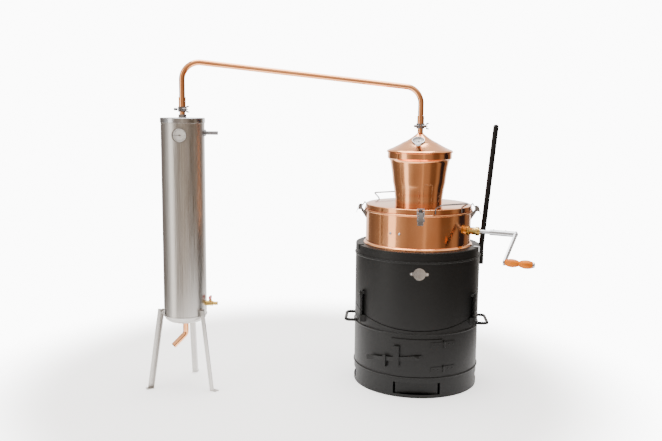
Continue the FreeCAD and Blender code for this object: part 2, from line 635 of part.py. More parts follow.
def build_stove():
    # The base ring stands on the floor. It has a floor plate, the ash opening in
    # front, a vent on each side, a ledge for the grate and two tray runners.
    wall = turned("base_wall", [
        ("0", "0"), ("stove_radius", "0"), ("stove_radius", "base_height"),
        (INSIDE + " - ledge_width", "base_height"),
        (INSIDE + " - ledge_width", "base_height - stove_wall"),
        (INSIDE, "base_height - stove_wall"), (INSIDE, "stove_wall"), ("0", "stove_wall")])
    ash = sector("ash_opening", INSIDE + " - 1", CLEAR, "ash_low", "ash_high",
                 "-ash_half_angle", "2 * ash_half_angle")
    vents = [sector("vent_" + side, INSIDE + " - 1", CLEAR, "vent_low", "vent_high",
                    "%s - vent_half_angle" % middle, "2 * vent_half_angle")
             for side, middle in (("right", "90"), ("left", "270"))]
    runners = [box("runner_blank_" + side, "runner_width", "2 * stove_radius", "ash_low - stove_wall",
                   x=x, y="-stove_radius", z="stove_wall")
               for side, x in (("right", "runner_offset"), ("left", "-runner_offset - runner_width"))]
    inside = rod("base_inside", INSIDE, "base_height")
    rails = common("tray_runners", fused("runner_blanks", *runners), inside)
    keep(fused("base_ring", cut("base_shell", wall, ash, *vents), rails))

    # The grate lies on the ledge.
    grate = document.addObject("PartDesign::Body", "fire_grate")
    keep(grate)
    grate_radius = INSIDE + " - grate_play"
    disc = draw(grate, "XZ_Plane", [
        ("0", "base_height"), (grate_radius, "base_height"),
        (grate_radius, "base_height + grate_thickness"), ("0", "base_height + grate_thickness")],
        "grate_outline")
    turning = grate.newObject("PartDesign::Revolution", "grate_disc")
    turning.Profile = disc
    turning.ReferenceAxis = (disc, ["V_Axis"])
    slot = draw(grate, "XY_Plane", rectangle(
        "-5.5 * slot_pitch + 0.5 * (slot_pitch - slot_width)", "-slot_length / 2",
        "-4.5 * slot_pitch - 0.5 * (slot_pitch - slot_width)", "slot_length / 2"), "grate_slot")
    pocket = grate.newObject("PartDesign::Pocket", "grate_slot_cut")
    pocket.Profile = slot
    pocket.Reversed = True
    bind(pocket, Length="base_height + grate_thickness + 1")
    rows = grate.newObject("PartDesign::LinearPattern", "grate_slots")
    rows.Originals = [pocket]
    rows.Direction = (slot, ["H_Axis"])
    rows.Occurrences = 11
    bind(rows, Length="10 * slot_pitch")
    grate.Tip = rows

    # The lower shell stands on the base ring. It has the fire door's opening
    # and the flue hole, and its top is cut along the parting plane.
    blank = turned("lower_blank", [
        (INSIDE, "base_height"), ("stove_radius", "base_height")]
        + bead("(base_height + bead_half)")[1:] + bead("lower_bead")
        + [("stove_radius", "jacket_top"), (INSIDE, "jacket_top")])
    above = parting_block("above_parting", "-parting_gap / 2")
    lap = "door_lap / stove_radius * 180 / pi"
    doorway = sector("doorway", INSIDE + " - 1", CLEAR, "door_low + door_lap", "door_high - door_lap",
                     "-door_left + " + lap, "door_left + door_right - 2 * " + lap)
    flue_hole = rod("flue_hole", "flue_radius + fit_gap", "stove_radius + 10",
                    z="flue_height", turn="180", lean="90")
    keep(cut("lower_shell", blank, above, doorway, flue_hole))

    collar = ring("flue_tube", "flue_radius - stove_wall", "flue_radius", "stove_radius - 14", "flue_reach",
                  z="flue_height", turn="180", lean="90")
    rim = ring("flue_rim", "flue_radius - stove_wall", "flue_radius + 3",
               "flue_reach - 16", "flue_reach - 12",
               z="flue_height", turn="180", lean="90")
    keep(fused("flue_collar", collar, rim))

    # A bent rod on each side carries the stove. It is welded to the shell.
    reach = "handle_reach"
    handles = [bent("handle_rod_" + side, [
        ("%s * (stove_radius - 15)" % sign, "-handle_half", "handle_height"),
        ("%s * %s" % (sign, reach), "-handle_half", "handle_height"),
        ("%s * %s" % (sign, reach), "handle_half", "handle_height"),
        ("%s * (stove_radius - 15)" % sign, "handle_half", "handle_height")],
        "handle_bend", "rod_radius") for side, sign in (("right", "1"), ("left", "-1"))]
    shell_plug = turned("shell_plug", [("0", "base_height"), ("stove_radius", "base_height")]
                        + bead("lower_bead") + [("stove_radius", "jacket_top"), ("0", "jacket_top")])
    keep(cut("side_handles", group("handle_rods", *handles), shell_plug))

    # The tilt ears are flat plates beside the shell, welded to it at their foot.
    back = "-tilt_forward + ear_half"
    front = "-tilt_forward - ear_half"
    plate = padded("ear_plate", "YZ_Plane", [
        (front, "ear_low"), (back, "ear_low"), (back, "tilt_height"),
        ("-tilt_forward", "tilt_height + ear_half", "ear_half"), (front, "tilt_height", "ear_half")],
        "ear_thickness", middle=False, x="ear_inner")
    block = box("ear_block", "ear_inner - 190", "2 * ear_half - 4", "ear_weld - ear_low",
                x="190", y=front + " + 2", z="ear_low")
    eye = rod("ear_eye", "pin_radius + running_gap", "stove_radius",
              y="-tilt_forward", z="tilt_height", nod="90")
    core = rod("stove_core", "stove_radius", "2 * jacket_top")
    ear = cut("ear_right", cut("ear_drilled", fused("ear_blank", plate, block), eye), core)
    keep(group("tilt_ears", ear, mirrored("ear_left", ear)))
    return core


# ------------------------------------------------------------ ash tray, door

def build_ash_tray():
    # An open box that slides out to the front on its two runners.
    floor = "ash_low + fit_gap"
    outside = box("tray_outside", "tray_width", "tray_depth", "tray_rim - (%s)" % floor,
                  x="-tray_width / 2", y="-tray_front", z=floor)
    hollow = box("tray_hollow", "tray_width - 2 * tray_wall", "tray_depth - 2 * tray_wall", "tray_rim",
                 x="-tray_width / 2 + tray_wall", y="-tray_front + tray_wall", z=floor + " + tray_wall")
    keep(cut("ash_tray", outside, hollow))


DOOR_INNER = "stove_radius + door_gap"
DOOR_OUTER = "stove_radius + door_gap + door_thickness"


def at_hinge(label, radius, low, high, middle):
    """A cylinder round the door's hinge axis, its heights measured from a hinge's middle."""
    return rod(label, radius, "%s - (%s)" % (high, low), x="hinge_radius * sin(hinge_angle)",
               y="-hinge_radius * cos(hinge_angle)", z="%s + %s" % (middle, low))


def build_door():
    # The door is a curved sheet on two hinges. Each hinge has a strap and one
    # knuckle on the door, and a strap and two knuckles on the shell.
    skin = sector("door_skin", DOOR_INNER, DOOR_OUTER, "door_low", "door_high",
                  "-door_left", "door_left + door_right")
    door = [skin]
    fixed = []
    pins = []
    for name, middle in (("low", "hinge_low"), ("high", "hinge_high")):
        low = "-hinge_half"
        strap = sector("door_strap_" + name, DOOR_OUTER, DOOR_OUTER + " + strap_thickness",
                       "%s - hinge_half" % middle, "%s + hinge_half" % middle,
                       "hinge_angle - strap_angle", "strap_angle - 1.5")
        tongue = sector("door_tongue_" + name, DOOR_OUTER, DOOR_OUTER + " + strap_thickness",
                        "%s - knuckle_half" % middle, "%s + knuckle_half" % middle,
                        "hinge_angle - 2", "1.7")
        knuckle = at_hinge("door_knuckle_" + name, "knuckle_radius", "-knuckle_half", "knuckle_half", middle)
        bore = at_hinge("door_bore_" + name, "hinge_pin + running_gap", low, "hinge_half", middle)
        door.append(cut("door_eye_" + name, fused("door_leaf_" + name, strap, tongue, knuckle), bore))
        leaf = sector("shell_strap_" + name, "stove_radius", "stove_radius + strap_thickness",
                      "%s - hinge_half" % middle, "%s + hinge_half" % middle,
                      "hinge_angle + 1.5", "strap_angle - 1.5")
        joints = [leaf]
        for end, from_low, to_high in (("foot", low, "-knuckle_half - fit_gap"),
                                       ("head", "knuckle_half + fit_gap", "hinge_half")):
            joints.append(at_hinge("shell_knuckle_%s_%s" % (name, end), "knuckle_radius",
                                   from_low, to_high, middle))
            joints.append(sector("shell_tongue_%s_%s" % (name, end), "stove_radius", "hinge_radius - 2",
                                 "%s + %s" % (middle, from_low), "%s + %s" % (middle, to_high),
                                 "hinge_angle + 0.3", "1.6"))
        drill = at_hinge("shell_bore_" + name, "hinge_pin + running_gap", "-hinge_half - 1",
                         "hinge_half + 1", middle)
        fixed.append(cut("shell_leaf_" + name, fused("shell_joints_" + name, *joints), drill))
        head = at_hinge("pin_head_" + name, "hinge_pin + 1.5", "hinge_half", "hinge_half + 2", middle)
        stem = at_hinge("pin_stem_" + name, "hinge_pin", "-hinge_half", "hinge_half", middle)
        pins.append(fused("hinge_pin_" + name, stem, head))
    keep(group("door_hinges", *fixed, *pins))

    # The latch bar turns on a bolt, runs through a tall staple on the door and
    # drops into a hook on the shell.
    bar_inner = DOOR_OUTER + " + bar_gap"
    bar_outer = bar_inner + " + bar_thickness"
    bolt = turned("bar_bolt", [
        ("0", DOOR_OUTER), ("bar_bolt + 3", DOOR_OUTER), ("bar_bolt + 3", bar_inner + " - fit_gap"),
        ("bar_bolt", bar_inner + " - fit_gap"), ("bar_bolt", bar_outer + " + fit_gap"),
        ("bar_bolt + 4", bar_outer + " + fit_gap"), ("bar_bolt + 4", bar_outer + " + 3"),
        ("0", bar_outer + " + 4.5", dome("bar_bolt + 4", "1.5"))], z="bar_height", lean="90")
    staple_outer = bar_outer + " + 1.3 + staple_strip"
    staple = cut("latch_staple",
                 sector("staple_block", DOOR_OUTER, staple_outer, "staple_low", "staple_high",
                        "-staple_angle - staple_half_angle", "2 * staple_half_angle"),
                 sector("staple_gap", INSIDE, bar_outer + " + 1.3", "staple_low + staple_leg",
                        "staple_high - staple_leg", "-staple_angle - staple_half_angle - 1",
                        "2 * staple_half_angle + 2"))
    keep(group("fire_door", fused("door_leaf", *door), bolt, staple))

    # The keeper is open at the top, with a lip in front of the bar.
    lip = bar_outer + " + 1.5"
    hook = radial("keeper_hook", [
        ("stove_radius", "keeper_low"), (lip + " + 2", "keeper_low"), (lip + " + 2", "keeper_high"),
        (lip, "keeper_high"), (lip, "keeper_low + 4"), ("stove_radius + 2.5", "keeper_low + 4"),
        ("stove_radius + 2.5", "keeper_high - 8"), ("stove_radius", "keeper_high - 8")],
        "keeper_width", "-keeper_angle")
    keep(hook)

    # The bar's own middle is level. It droops about its bolt, and its end is bent out.
    droop = {"z": "bar_height", "nod": "-bar_droop"}
    arc = ring("bar_ring", bar_inner, bar_outer, "-bar_half", "bar_half")
    wedge = turned("bar_wedge", [("0", "-2 * bar_half"), (CLEAR, "-2 * bar_half"),
                                 (CLEAR, "2 * bar_half"), ("0", "2 * bar_half")],
                   angle="bar_left + bar_right", turn="-bar_left - 90")
    strip = common("bar_strip", arc, wedge)
    end = box("bar_end", "bar_lift_end", "bar_thickness", "2 * bar_half",
              x="-(%s) * sin(bar_left) - bar_lift_end * cos(bar_left - 15)" % bar_inner,
              y="-(%s) * cos(bar_left) + bar_lift_end * sin(bar_left - 15) - bar_thickness" % bar_inner,
              z="-bar_half", turn="-bar_left + 15")
    hole = rod("bar_hole", "bar_bolt + running_gap", CLEAR, lean="90")
    bar = cut("door_latch_bar", fused("bar_blank", strip, end), hole)
    place(bar, **droop)
    keep(bar)


# -------------------------------------------------------------------- kettle

def build_jacket(core):
    # The upper jacket tips on the pins. Its lower edge follows the parting plane.
    blank = turned("jacket_blank", [
        (INSIDE, "base_height"), ("stove_radius", "base_height")] + bead("upper_bead")
        + [("stove_radius", "jacket_top - ring_thickness"), (INSIDE, "jacket_top - ring_thickness")])
    below = parting_block("below_parting", "parting_gap / 2 - 2 * jacket_top")
    jacket = keep(cut("upper_jacket", blank, below))

    seat = "pot_radius + pot_play"
    keep(turned("jacket_top_ring", [
        (seat, "jacket_top - ring_thickness"), ("stove_radius", "jacket_top - ring_thickness"),
        ("stove_radius - ring_thickness", "jacket_top", "ring_thickness"), (seat, "jacket_top")]))

    pin = fused("pin_right", rod("pin_stem", "pin_radius", "ear_inner + ear_thickness + fit_gap - 190",
                                 x="190", y="-tilt_forward", z="tilt_height", nod="90"),
                turned("pin_head", [
                    ("0", "0"), ("pin_radius + 4", "0"), ("pin_radius + 4", "3"),
                    ("0", "5", dome("pin_radius + 4", "2"))],
                    x="ear_inner + ear_thickness + fit_gap", y="-tilt_forward", z="tilt_height", nod="90"))
    welded = cut("tilt_pin_right", pin, core)
    keep(group("tilt_pins", welded, mirrored("tilt_pin_left", welded)))

    clips = [radial("clip_" + name, [
        ("pot_radius + 20", "jacket_top"), ("stove_radius + 0.1", "jacket_top"),
        ("stove_radius + 0.1", "jacket_top - 18"), ("stove_radius + 0.1 + clip_thickness", "jacket_top - 18"),
        ("stove_radius + 0.1 + clip_thickness", "jacket_top + clip_thickness"),
        ("pot_radius + 20", "jacket_top + clip_thickness")], "2 * clip_half", azimuth)
        for name, azimuth in (("right", "clip_angle"), ("left", "-clip_angle"), ("rear", "180"))]
    keep(group("hold_down_clips", *clips))

    # The name plate is bare. It follows the jacket, with a rivet in each ear.
    face = "stove_radius + 0.1"
    sheet_ring = ring("plate_sheet", face, face + " + plate_thickness",
                      "plate_height - 2 * plate_radius", "plate_height + 2 * plate_radius")
    notch = "sqrt(plate_radius ^ 2 - plate_ear ^ 2)"
    shape = padded("plate_shape", "XZ_Plane", [
        (notch, "-plate_ear", "plate_radius"), ("plate_half - plate_ear", "-plate_ear"),
        ("plate_half - plate_ear", "plate_ear", "plate_ear + 0.01"), (notch, "plate_ear"),
        ("-" + notch, "plate_ear", "plate_radius"), ("-plate_half + plate_ear", "plate_ear"),
        ("-plate_half + plate_ear", "-plate_ear", "plate_ear + 0.01"), ("-" + notch, "-plate_ear")],
        CLEAR, middle=False, z="plate_height")
    keep(common("name_plate", sheet_ring, shape))
    rivets = [turned("plate_rivet_" + side, [
        ("0", face + " + plate_thickness"), ("2.6", face + " + plate_thickness"),
        ("0", face + " + plate_thickness + 1.6", dome("2.6", "1.6"))],
        z="plate_height", turn="%s (plate_half - plate_ear) / stove_radius * 180 / pi" % sign, lean="90")
        for side, sign in (("right", ""), ("left", "-"))]

    # The lever's stub is welded to the jacket's side. It ends in a leaning spigot.
    stub = rod("stub_post", "stub_radius", "stub_high - stub_low", z="stub_low", **at_lever(LEVER_AWAY))
    spigot = rod("stub_spigot", "spigot_radius", "spigot_length + 12", z="stub_high - 12 * cos(lever_lean)",
                 nod="lever_lean", **at_lever(LEVER_AWAY + " - 12 * sin(lever_lean)"))
    welds = [box("stub_weld_" + name, "stub_radius", "12", "14", z=height,
                 **at_lever("stove_radius - stove_wall + 0.5", "-6"))
             for name, height in (("low", "stub_low + 6"), ("high", "stub_high - 12"))]
    keep(cut("lever_stub", fused("stub_blank", stub, spigot, *welds), jacket))
    return rivets


def at_lever(distance, across="0"):
    """A place beside the tilt lever: how far it is from the stove's axis, and how far to the rear."""
    return {"x": "(%s) * cos(lever_turn) - (%s) * sin(lever_turn)" % (distance, across),
            "y": "(%s) * sin(lever_turn) + (%s) * cos(lever_turn)" % (distance, across),
            "turn": "lever_turn"}


def build_lever():
    # The tilt lever is a tube with a closed end that slides off its spigot.
    bore = "spigot_radius + running_gap"
    keep(turned("tilt_lever", [
        (bore, "1.5"), ("stub_radius", "1.5"), ("stub_radius", "lever_length - 6"),
        ("0", "lever_length", dome("stub_radius", "6")), ("0", "lever_length - 10"),
        (bore, "lever_length - 10")],
        z="stub_high", nod="lever_lean", **at_lever(LEVER_AWAY)))


def build_pot():
    # The pot hangs by its flange in the jacket's ring. Its base is dished.
    knee = "pot_radius - pot_corner"
    shoulder = "pot_bottom + pot_dish + pot_corner"
    inside = "pot_radius - pot_wall"
    blank = turned("pot_blank", [
        ("0", "pot_bottom"), (knee, "pot_bottom + pot_dish", dome(knee, "pot_dish")),
        ("pot_radius", shoulder, "pot_corner * 1.2"), ("pot_radius", "jacket_top"),
        ("flange_radius", "jacket_top"), ("flange_radius", "jacket_top + 2"),
        ("pot_radius", "jacket_top + flange_height", "flange_radius - pot_radius + 6"),
        ("pot_radius", "pot_rim - rim_height"), ("rim_radius", "pot_rim - rim_height + 1.5", "7"),
        ("rim_radius", "pot_rim - 1.5", "5"), ("rim_radius - 2", "pot_rim"),
        (inside, "pot_rim"), (inside, shoulder),
        (knee, "pot_bottom + pot_dish + pot_wall", "-pot_corner * 1.2"),
        ("0", "pot_bottom + pot_wall", "-" + dome(knee, "pot_dish"))])
    hole = rod("gland_hole", "gland_thread + running_gap", "stove_radius",
               z="crank_height", turn="crank_angle", lean="90")
    keep(cut("pot", blank, hole))


# -------------------------------------------------------- crank and stirrer

def along_crank(label, outline, **where):
    """A piece turned about the crank's axis: outline of (radius, distance from the stove's axis)."""
    return turned(label, outline, z="crank_height", turn="crank_angle", lean="90", **where)


def bevel_gear(label, bore, spin, **where):
    """A straight-toothed bevel gear whose pitch cone has its point at the origin."""
    pitch = value("gear_radius")
    teeth = int(value("gear_teeth"))
    module = 2 * pitch / teeth
    tall = 0.72 * module
    deep = 0.95 * module
    inner = 0.62
    outward = FreeCAD.Vector(1, 0, -1).normalize()
    across = FreeCAD.Vector(0, 1, 0)
    middle = FreeCAD.Vector(pitch, 0, pitch)

    def trapezoid(scale):
        root = middle - outward * (deep + 0.4)
        tip = middle + outward * tall
        wide = 0.82 * module
        narrow = 0.38 * module
        corners = [root + across * wide, root - across * wide, tip - across * narrow, tip + across * narrow]
        corners = [corner * scale for corner in corners]
        return Part.makePolygon(corners + corners[:1])

    tooth = Part.makeLoft([trapezoid(inner), trapezoid(1)], True, True)
    root = middle - outward * deep
    profile = [(value(bore), inner * root.z), (inner * root.x, inner * root.z), (root.x, root.z),
               (root.x - 1, root.z + 4), (root.x / 2, root.z + 4), (root.x / 2, root.z + 11),
               (value(bore), root.z + 11)]
    corners = [FreeCAD.Vector(x, 0, z) for x, z in profile]
    face = Part.Face(Part.makePolygon(corners + corners[:1]))
    shape = face.revolve(FreeCAD.Vector(0, 0, 0), FreeCAD.Vector(0, 0, 1), 360)
    centre = FreeCAD.Vector(0, 0, 0)
    upright = FreeCAD.Vector(0, 0, 1)
    copies = []
    for number in range(teeth):
        copy = tooth.copy()
        copy.rotate(centre, upright, (number + spin) * 360 / teeth)
        copies.append(copy)
    item = document.addObject("Part::Feature", label)
    item.Shape = shape.fuse(copies).removeSplitter()
    return place(item, **where)


def build_crank():
    # The gland is screwed through the pot's side and carries the crank's shaft.
    bore = "shaft_radius + running_gap"
    gland = along_crank("gland_body", [
        (bore, "pot_radius - 10"), ("gland_thread", "pot_radius - 10"),
        ("gland_thread", "pot_radius + face_gap"), ("gland_flange", "pot_radius + face_gap"),
        ("gland_flange", "pot_radius + 6"), ("gland_flange - 4", "pot_radius + 7"),
        ("gland_flange - 4", "gland_end - 18"), ("gland_flange - 1", "gland_end - 17"),
        ("gland_flange - 1", "gland_end - 6"), ("gland_thread - 1", "gland_end - 5"),
        ("gland_thread - 1", "gland_end"), (bore, "gland_end")])
    nut = along_crank("gland_nut", rectangle(
        "gland_thread", "pot_radius - 9.5", "gland_flange - 1", "pot_radius - 3.2"))
    keep(group("crank_gland", gland, nut))

    start = "gear_radius * 0.5"
    keep(along_crank("crank_shaft", [
        ("0", start), ("shaft_radius - 1", start), ("shaft_radius", start + " + 1"),
        ("shaft_radius", "arm_face - arm_thickness - 8"), ("0", "arm_face - arm_thickness - 8")]))
    tube = along_crank("hub_tube", rectangle(
        "shaft_radius", "hub_start", "hub_radius", "arm_face - arm_thickness"))
    screws = [rod("hub_screw_" + name, "2.5", "2", x="(%s) * sin(crank_angle)" % reach,
                  y="-(%s) * cos(crank_angle)" % reach, z="crank_height + hub_radius - 0.2")
              for name, reach in (("inner", "hub_start + 14"), ("outer", "hub_start + 60"))]
    keep(fused("crank_hub", tube, *screws))

    # The arm is a flat bar with round ends, riveted to the hub's flattened end.
    arm = padded("arm_bar", "XY_Plane", [
        ("0", "-arm_half", "arm_half + 0.01"), ("crank_throw", "-arm_half"),
        ("crank_throw", "arm_half", "arm_half + 0.01"), ("0", "arm_half")], "arm_thickness", middle=False)
    lift = "arm_face - arm_thickness"
    place(arm, x="(%s) * sin(crank_angle)" % lift, y="-(%s) * cos(crank_angle)" % lift,
          z="crank_height", turn="crank_angle", lean="90", spin="crank_rest")
    boss = along_crank("arm_boss", [
        ("0", "arm_face"), ("7", "arm_face"), ("7", "arm_face + 3"),
        ("0", "arm_face + 5", dome("7", "2"))])
    # the grip turns on a steel spindle with a broad head
    spindle = turned("grip_spindle", [
        ("0", "arm_face"), ("spindle_radius", "arm_face"), ("spindle_radius", "arm_face + grip_length + 2"),
        ("grip_bulge - 4", "arm_face + grip_length + 2"), ("grip_bulge - 4", "arm_face + grip_length + 5"),
        ("0", "arm_face + grip_length + 7", dome("grip_bulge - 4", "2"))])
    grip = turned("crank_grip", [
        ("spindle_radius + running_gap", "arm_face + 1"), ("grip_bulge - 4", "arm_face + 1"),
        ("grip_waist", "arm_face + grip_length * 0.5", "grip_length * 0.55"),
        ("grip_bulge - 4", "arm_face + grip_length + 1", "grip_length * 0.55"),
        ("spindle_radius + running_gap", "arm_face + grip_length + 1")])
    for item in (spindle, grip):
        place(item, x="crank_throw * cos(crank_rest) * cos(crank_angle)",
              y="crank_throw * cos(crank_rest) * sin(crank_angle)",
              z="crank_height + crank_throw * sin(crank_rest)", turn="crank_angle", lean="90")
    keep(fused("crank_arm", arm, boss, spindle))
    keep(grip)

    # A pair of bevel gears turns the upright shaft. The points of their pitch
    # cones meet where the two axes cross.
    keep(bevel_gear("bevel_pinion", "shaft_radius", 0, z="crank_height", turn="crank_angle", lean="90"))
    keep(bevel_gear("bevel_gear", "gear_shaft", 0.5, z="crank_height", turn="crank_angle - 90", lean="180"))


def build_stirrer():
    # The bridge spans the pot below the gears. Its ends are bent up against the
    # pot's wall and its bush carries the upright shaft.
    wall = "pot_radius - pot_wall"
    reach = "(%s - bridge_clear)" % wall
    inner = "(%s - bridge_clear - bridge_thickness)" % wall
    flange_top = "bridge_screw + 14"
    low = "crank_height - bridge_drop"
    strap = radial("bridge_strap", [
        ("-" + reach, low), (reach, low), (reach, flange_top), (inner, flange_top),
        (inner, low + " + bridge_thickness"), ("-" + inner, low + " + bridge_thickness"),
        ("-" + inner, flange_top), ("-" + reach, flange_top)],
        "2 * bridge_half", "bridge_angle")
    pads = [sector("bridge_pad_" + name, reach + " - 1.5", wall, "bridge_screw - 12", flange_top,
                   "%s - bridge_screw_angle - 2.5" % middle, "2 * bridge_screw_angle + 5")
            for name, middle in (("front", "bridge_angle"), ("rear", "bridge_angle + 180"))]
    bush = rod("bridge_bush", "gear_shaft + 5", "bush_depth + bridge_thickness", z=low + " - bush_depth")
    eye = rod("bridge_eye", "gear_shaft + running_gap", "60", z=low + " - 30")
    keep(cut("stirrer_bridge", fused("bridge_blank", strap, *pads, bush), eye))

    screws = []
    for side, middle in (("front", "bridge_angle"), ("rear", "bridge_angle + 180")):
        for name, sign in (("left", "-"), ("right", "+")):
            screws.append(turned("bridge_screw_%s_%s" % (side, name), [
                ("0", "pot_radius"), ("5.5", "pot_radius"), ("0", "pot_radius + 3.4", dome("5.5", "3.4"))],
                z="bridge_screw", turn="%s %s bridge_screw_angle" % (middle, sign), lean="90"))

    bottom = "pot_bottom + pot_wall + blade_clear"
    shaft = rod("stirrer_rod", "gear_shaft", "crank_height - shaft_radius - 5 - (%s)" % bottom, z=bottom)
    collar = ring("stirrer_collar", "gear_shaft", "gear_shaft + 4", low + " - bush_depth - 8",
                  low + " - bush_depth - fit_gap")
    half = [
        ("blade_reach * 0.6", bottom + " + pot_dish * 0.35"), ("blade_reach", bottom + " + pot_dish"),
        ("blade_reach", bottom + " + blade_height"), ("blade_reach - blade_arm", bottom + " + blade_height"),
        ("blade_reach - blade_arm - 12", bottom + " + blade_middle + 6")]
    other_half = [("-(%s)" % across, height) for across, height in reversed(half)]
    blade = padded("stirrer_vane", "XZ_Plane",
                   [("0", bottom)] + half + [("0", bottom + " + blade_middle")] + other_half,
                   "blade_thickness", turn="crank_angle")
    keep(fused("stirrer_shaft", shaft, collar, blade))
    return screws


# --------------------------------------------------------------- lid and hat

def build_lid():
    seat = "pot_rim + gasket_thickness"
    keep(ring("lid_gasket", "pot_radius - pot_wall", "rim_radius - 2.2", "pot_rim", seat))

    # The lid is a nearly flat cone with a skirt and a collar for the hat.
    inner = "pot_radius - lid_wall"
    collar_inner = "collar_radius - collar_wall"
    keep(turned("lid", [
        (inner, seat), ("lid_flange", seat), ("lid_flange", seat + " + lid_wall"),
        ("pot_radius", seat + " + lid_wall"), ("pot_radius", "lid_skirt - 2"),
        ("pot_radius - 3", "lid_skirt", "4"), ("collar_radius", "lid_crown"), ("collar_radius", "collar_top"),
        (collar_inner, "collar_top"), (collar_inner, "lid_crown - lid_wall - 1"),
        ("pot_radius - 4", "lid_skirt - lid_wall"), (inner, "lid_skirt - lid_wall - 2")]))

    # Each lid handle is a bent rod with its feet on the lid's flange.
    foot = seat + " + lid_wall"
    fittings = []
    for name, azimuth in (("right", "lid_handle_angle"), ("left", "lid_handle_angle + 180")):
        middle = "pot_radius + lid_rod + face_gap"
        depth = "sqrt((%s) ^ 2 - lid_handle_half ^ 2)" % middle
        out = depth + " + lid_handle_reach"
        handle = bent("lid_handle_" + name, [
            ("-lid_handle_half", "-(%s)" % depth, foot),
            ("-lid_handle_half", "-(%s)" % depth, "lid_skirt + 4"),
            ("-lid_handle_half", "-(%s)" % out, "lid_handle_height"),
            ("lid_handle_half", "-(%s)" % out, "lid_handle_height"),
            ("lid_handle_half", "-(%s)" % depth, "lid_skirt + 4"),
            ("lid_handle_half", "-(%s)" % depth, foot)], "7", "lid_rod", turn=azimuth)
        fittings.append(handle)
    # Each latch pulls on a small hook at the lid's shoulder.
    rest = "lid_skirt + loop_top_rise - latch_pin - fit_gap"
    for name, azimuth in LATCHES:
        hook = radial("latch_keeper_" + name, [
            ("pot_radius + 0.1", foot + " + 4"), ("pot_radius + 2.1", foot + " + 4"),
            ("pot_radius + 2.1", rest + " - 2"), ("loop_top_reach + 2.4", rest + " - 2"),
            ("loop_top_reach + 4.2", rest), ("loop_top_reach + 4.2", rest + " + 1.7"),
            ("loop_top_reach + 2.4", rest + " + 1.7"), ("loop_top_reach + 2.4", rest),
            ("pot_radius + 0.1", rest)], "2 * latch_half - 10", azimuth)
        fittings.append(hook)
    keep(group("lid_fittings", *fittings))


def build_hat():
    # The hat is one hollow turning: a spigot, a taper, a band, a rim, a roof and a neck.
    thick = "collar_wall"
    foot = "collar_top + fit_gap"
    spigot = "collar_radius - collar_wall - fit_gap"
    neck = "tube_radius - tube_wall"
    blank = turned("hat_blank", [
        (spigot + " - " + thick, "collar_top - spigot_depth"), (spigot, "collar_top - spigot_depth"),
        (spigot, foot), ("collar_radius + 1", foot), ("collar_radius + 1", foot + " + 3"),
        ("hat_waist", "hat_waist_height", "-420"), ("hat_top_radius", "hat_top", "-620"),
        ("band_radius", "band_low", "-22"), ("band_radius", "band_high"), ("brim_radius", "brim_high - 4"),
        ("brim_radius", "brim_high"), ("roof_base_radius", "roof_base"),
        ("roof_mid_radius", "roof_mid", "-380"), ("tube_radius", "roof_top", "-200"),
        ("tube_radius", "neck_top"),
        (neck, "neck_top"), (neck, "roof_top - 1"), ("roof_mid_radius - 1", "roof_mid - " + thick, "200"),
        ("roof_base_radius - 2", "roof_base - " + thick, "380"),
        ("band_radius - " + thick, "band_high"), ("band_radius - " + thick, "band_low + 1"),
        ("hat_top_radius - " + thick, "hat_top", "22"), ("hat_waist - " + thick, "hat_waist_height", "620"),
        (spigot + " - " + thick, foot + " + 3", "420")])
    reach = "(hat_dial_reach - 40 * sin(hat_dial_lean))"
    probe = rod("hat_probe_hole", "probe_radius + running_gap", "60", x=reach + " * sin(hat_dial_angle)",
                y="-%s * cos(hat_dial_angle)" % reach, z="hat_dial_foot - 40 * cos(hat_dial_lean)",
                turn="hat_dial_angle", lean="hat_dial_lean")
    keep(cut("hat_shell", blank, probe))


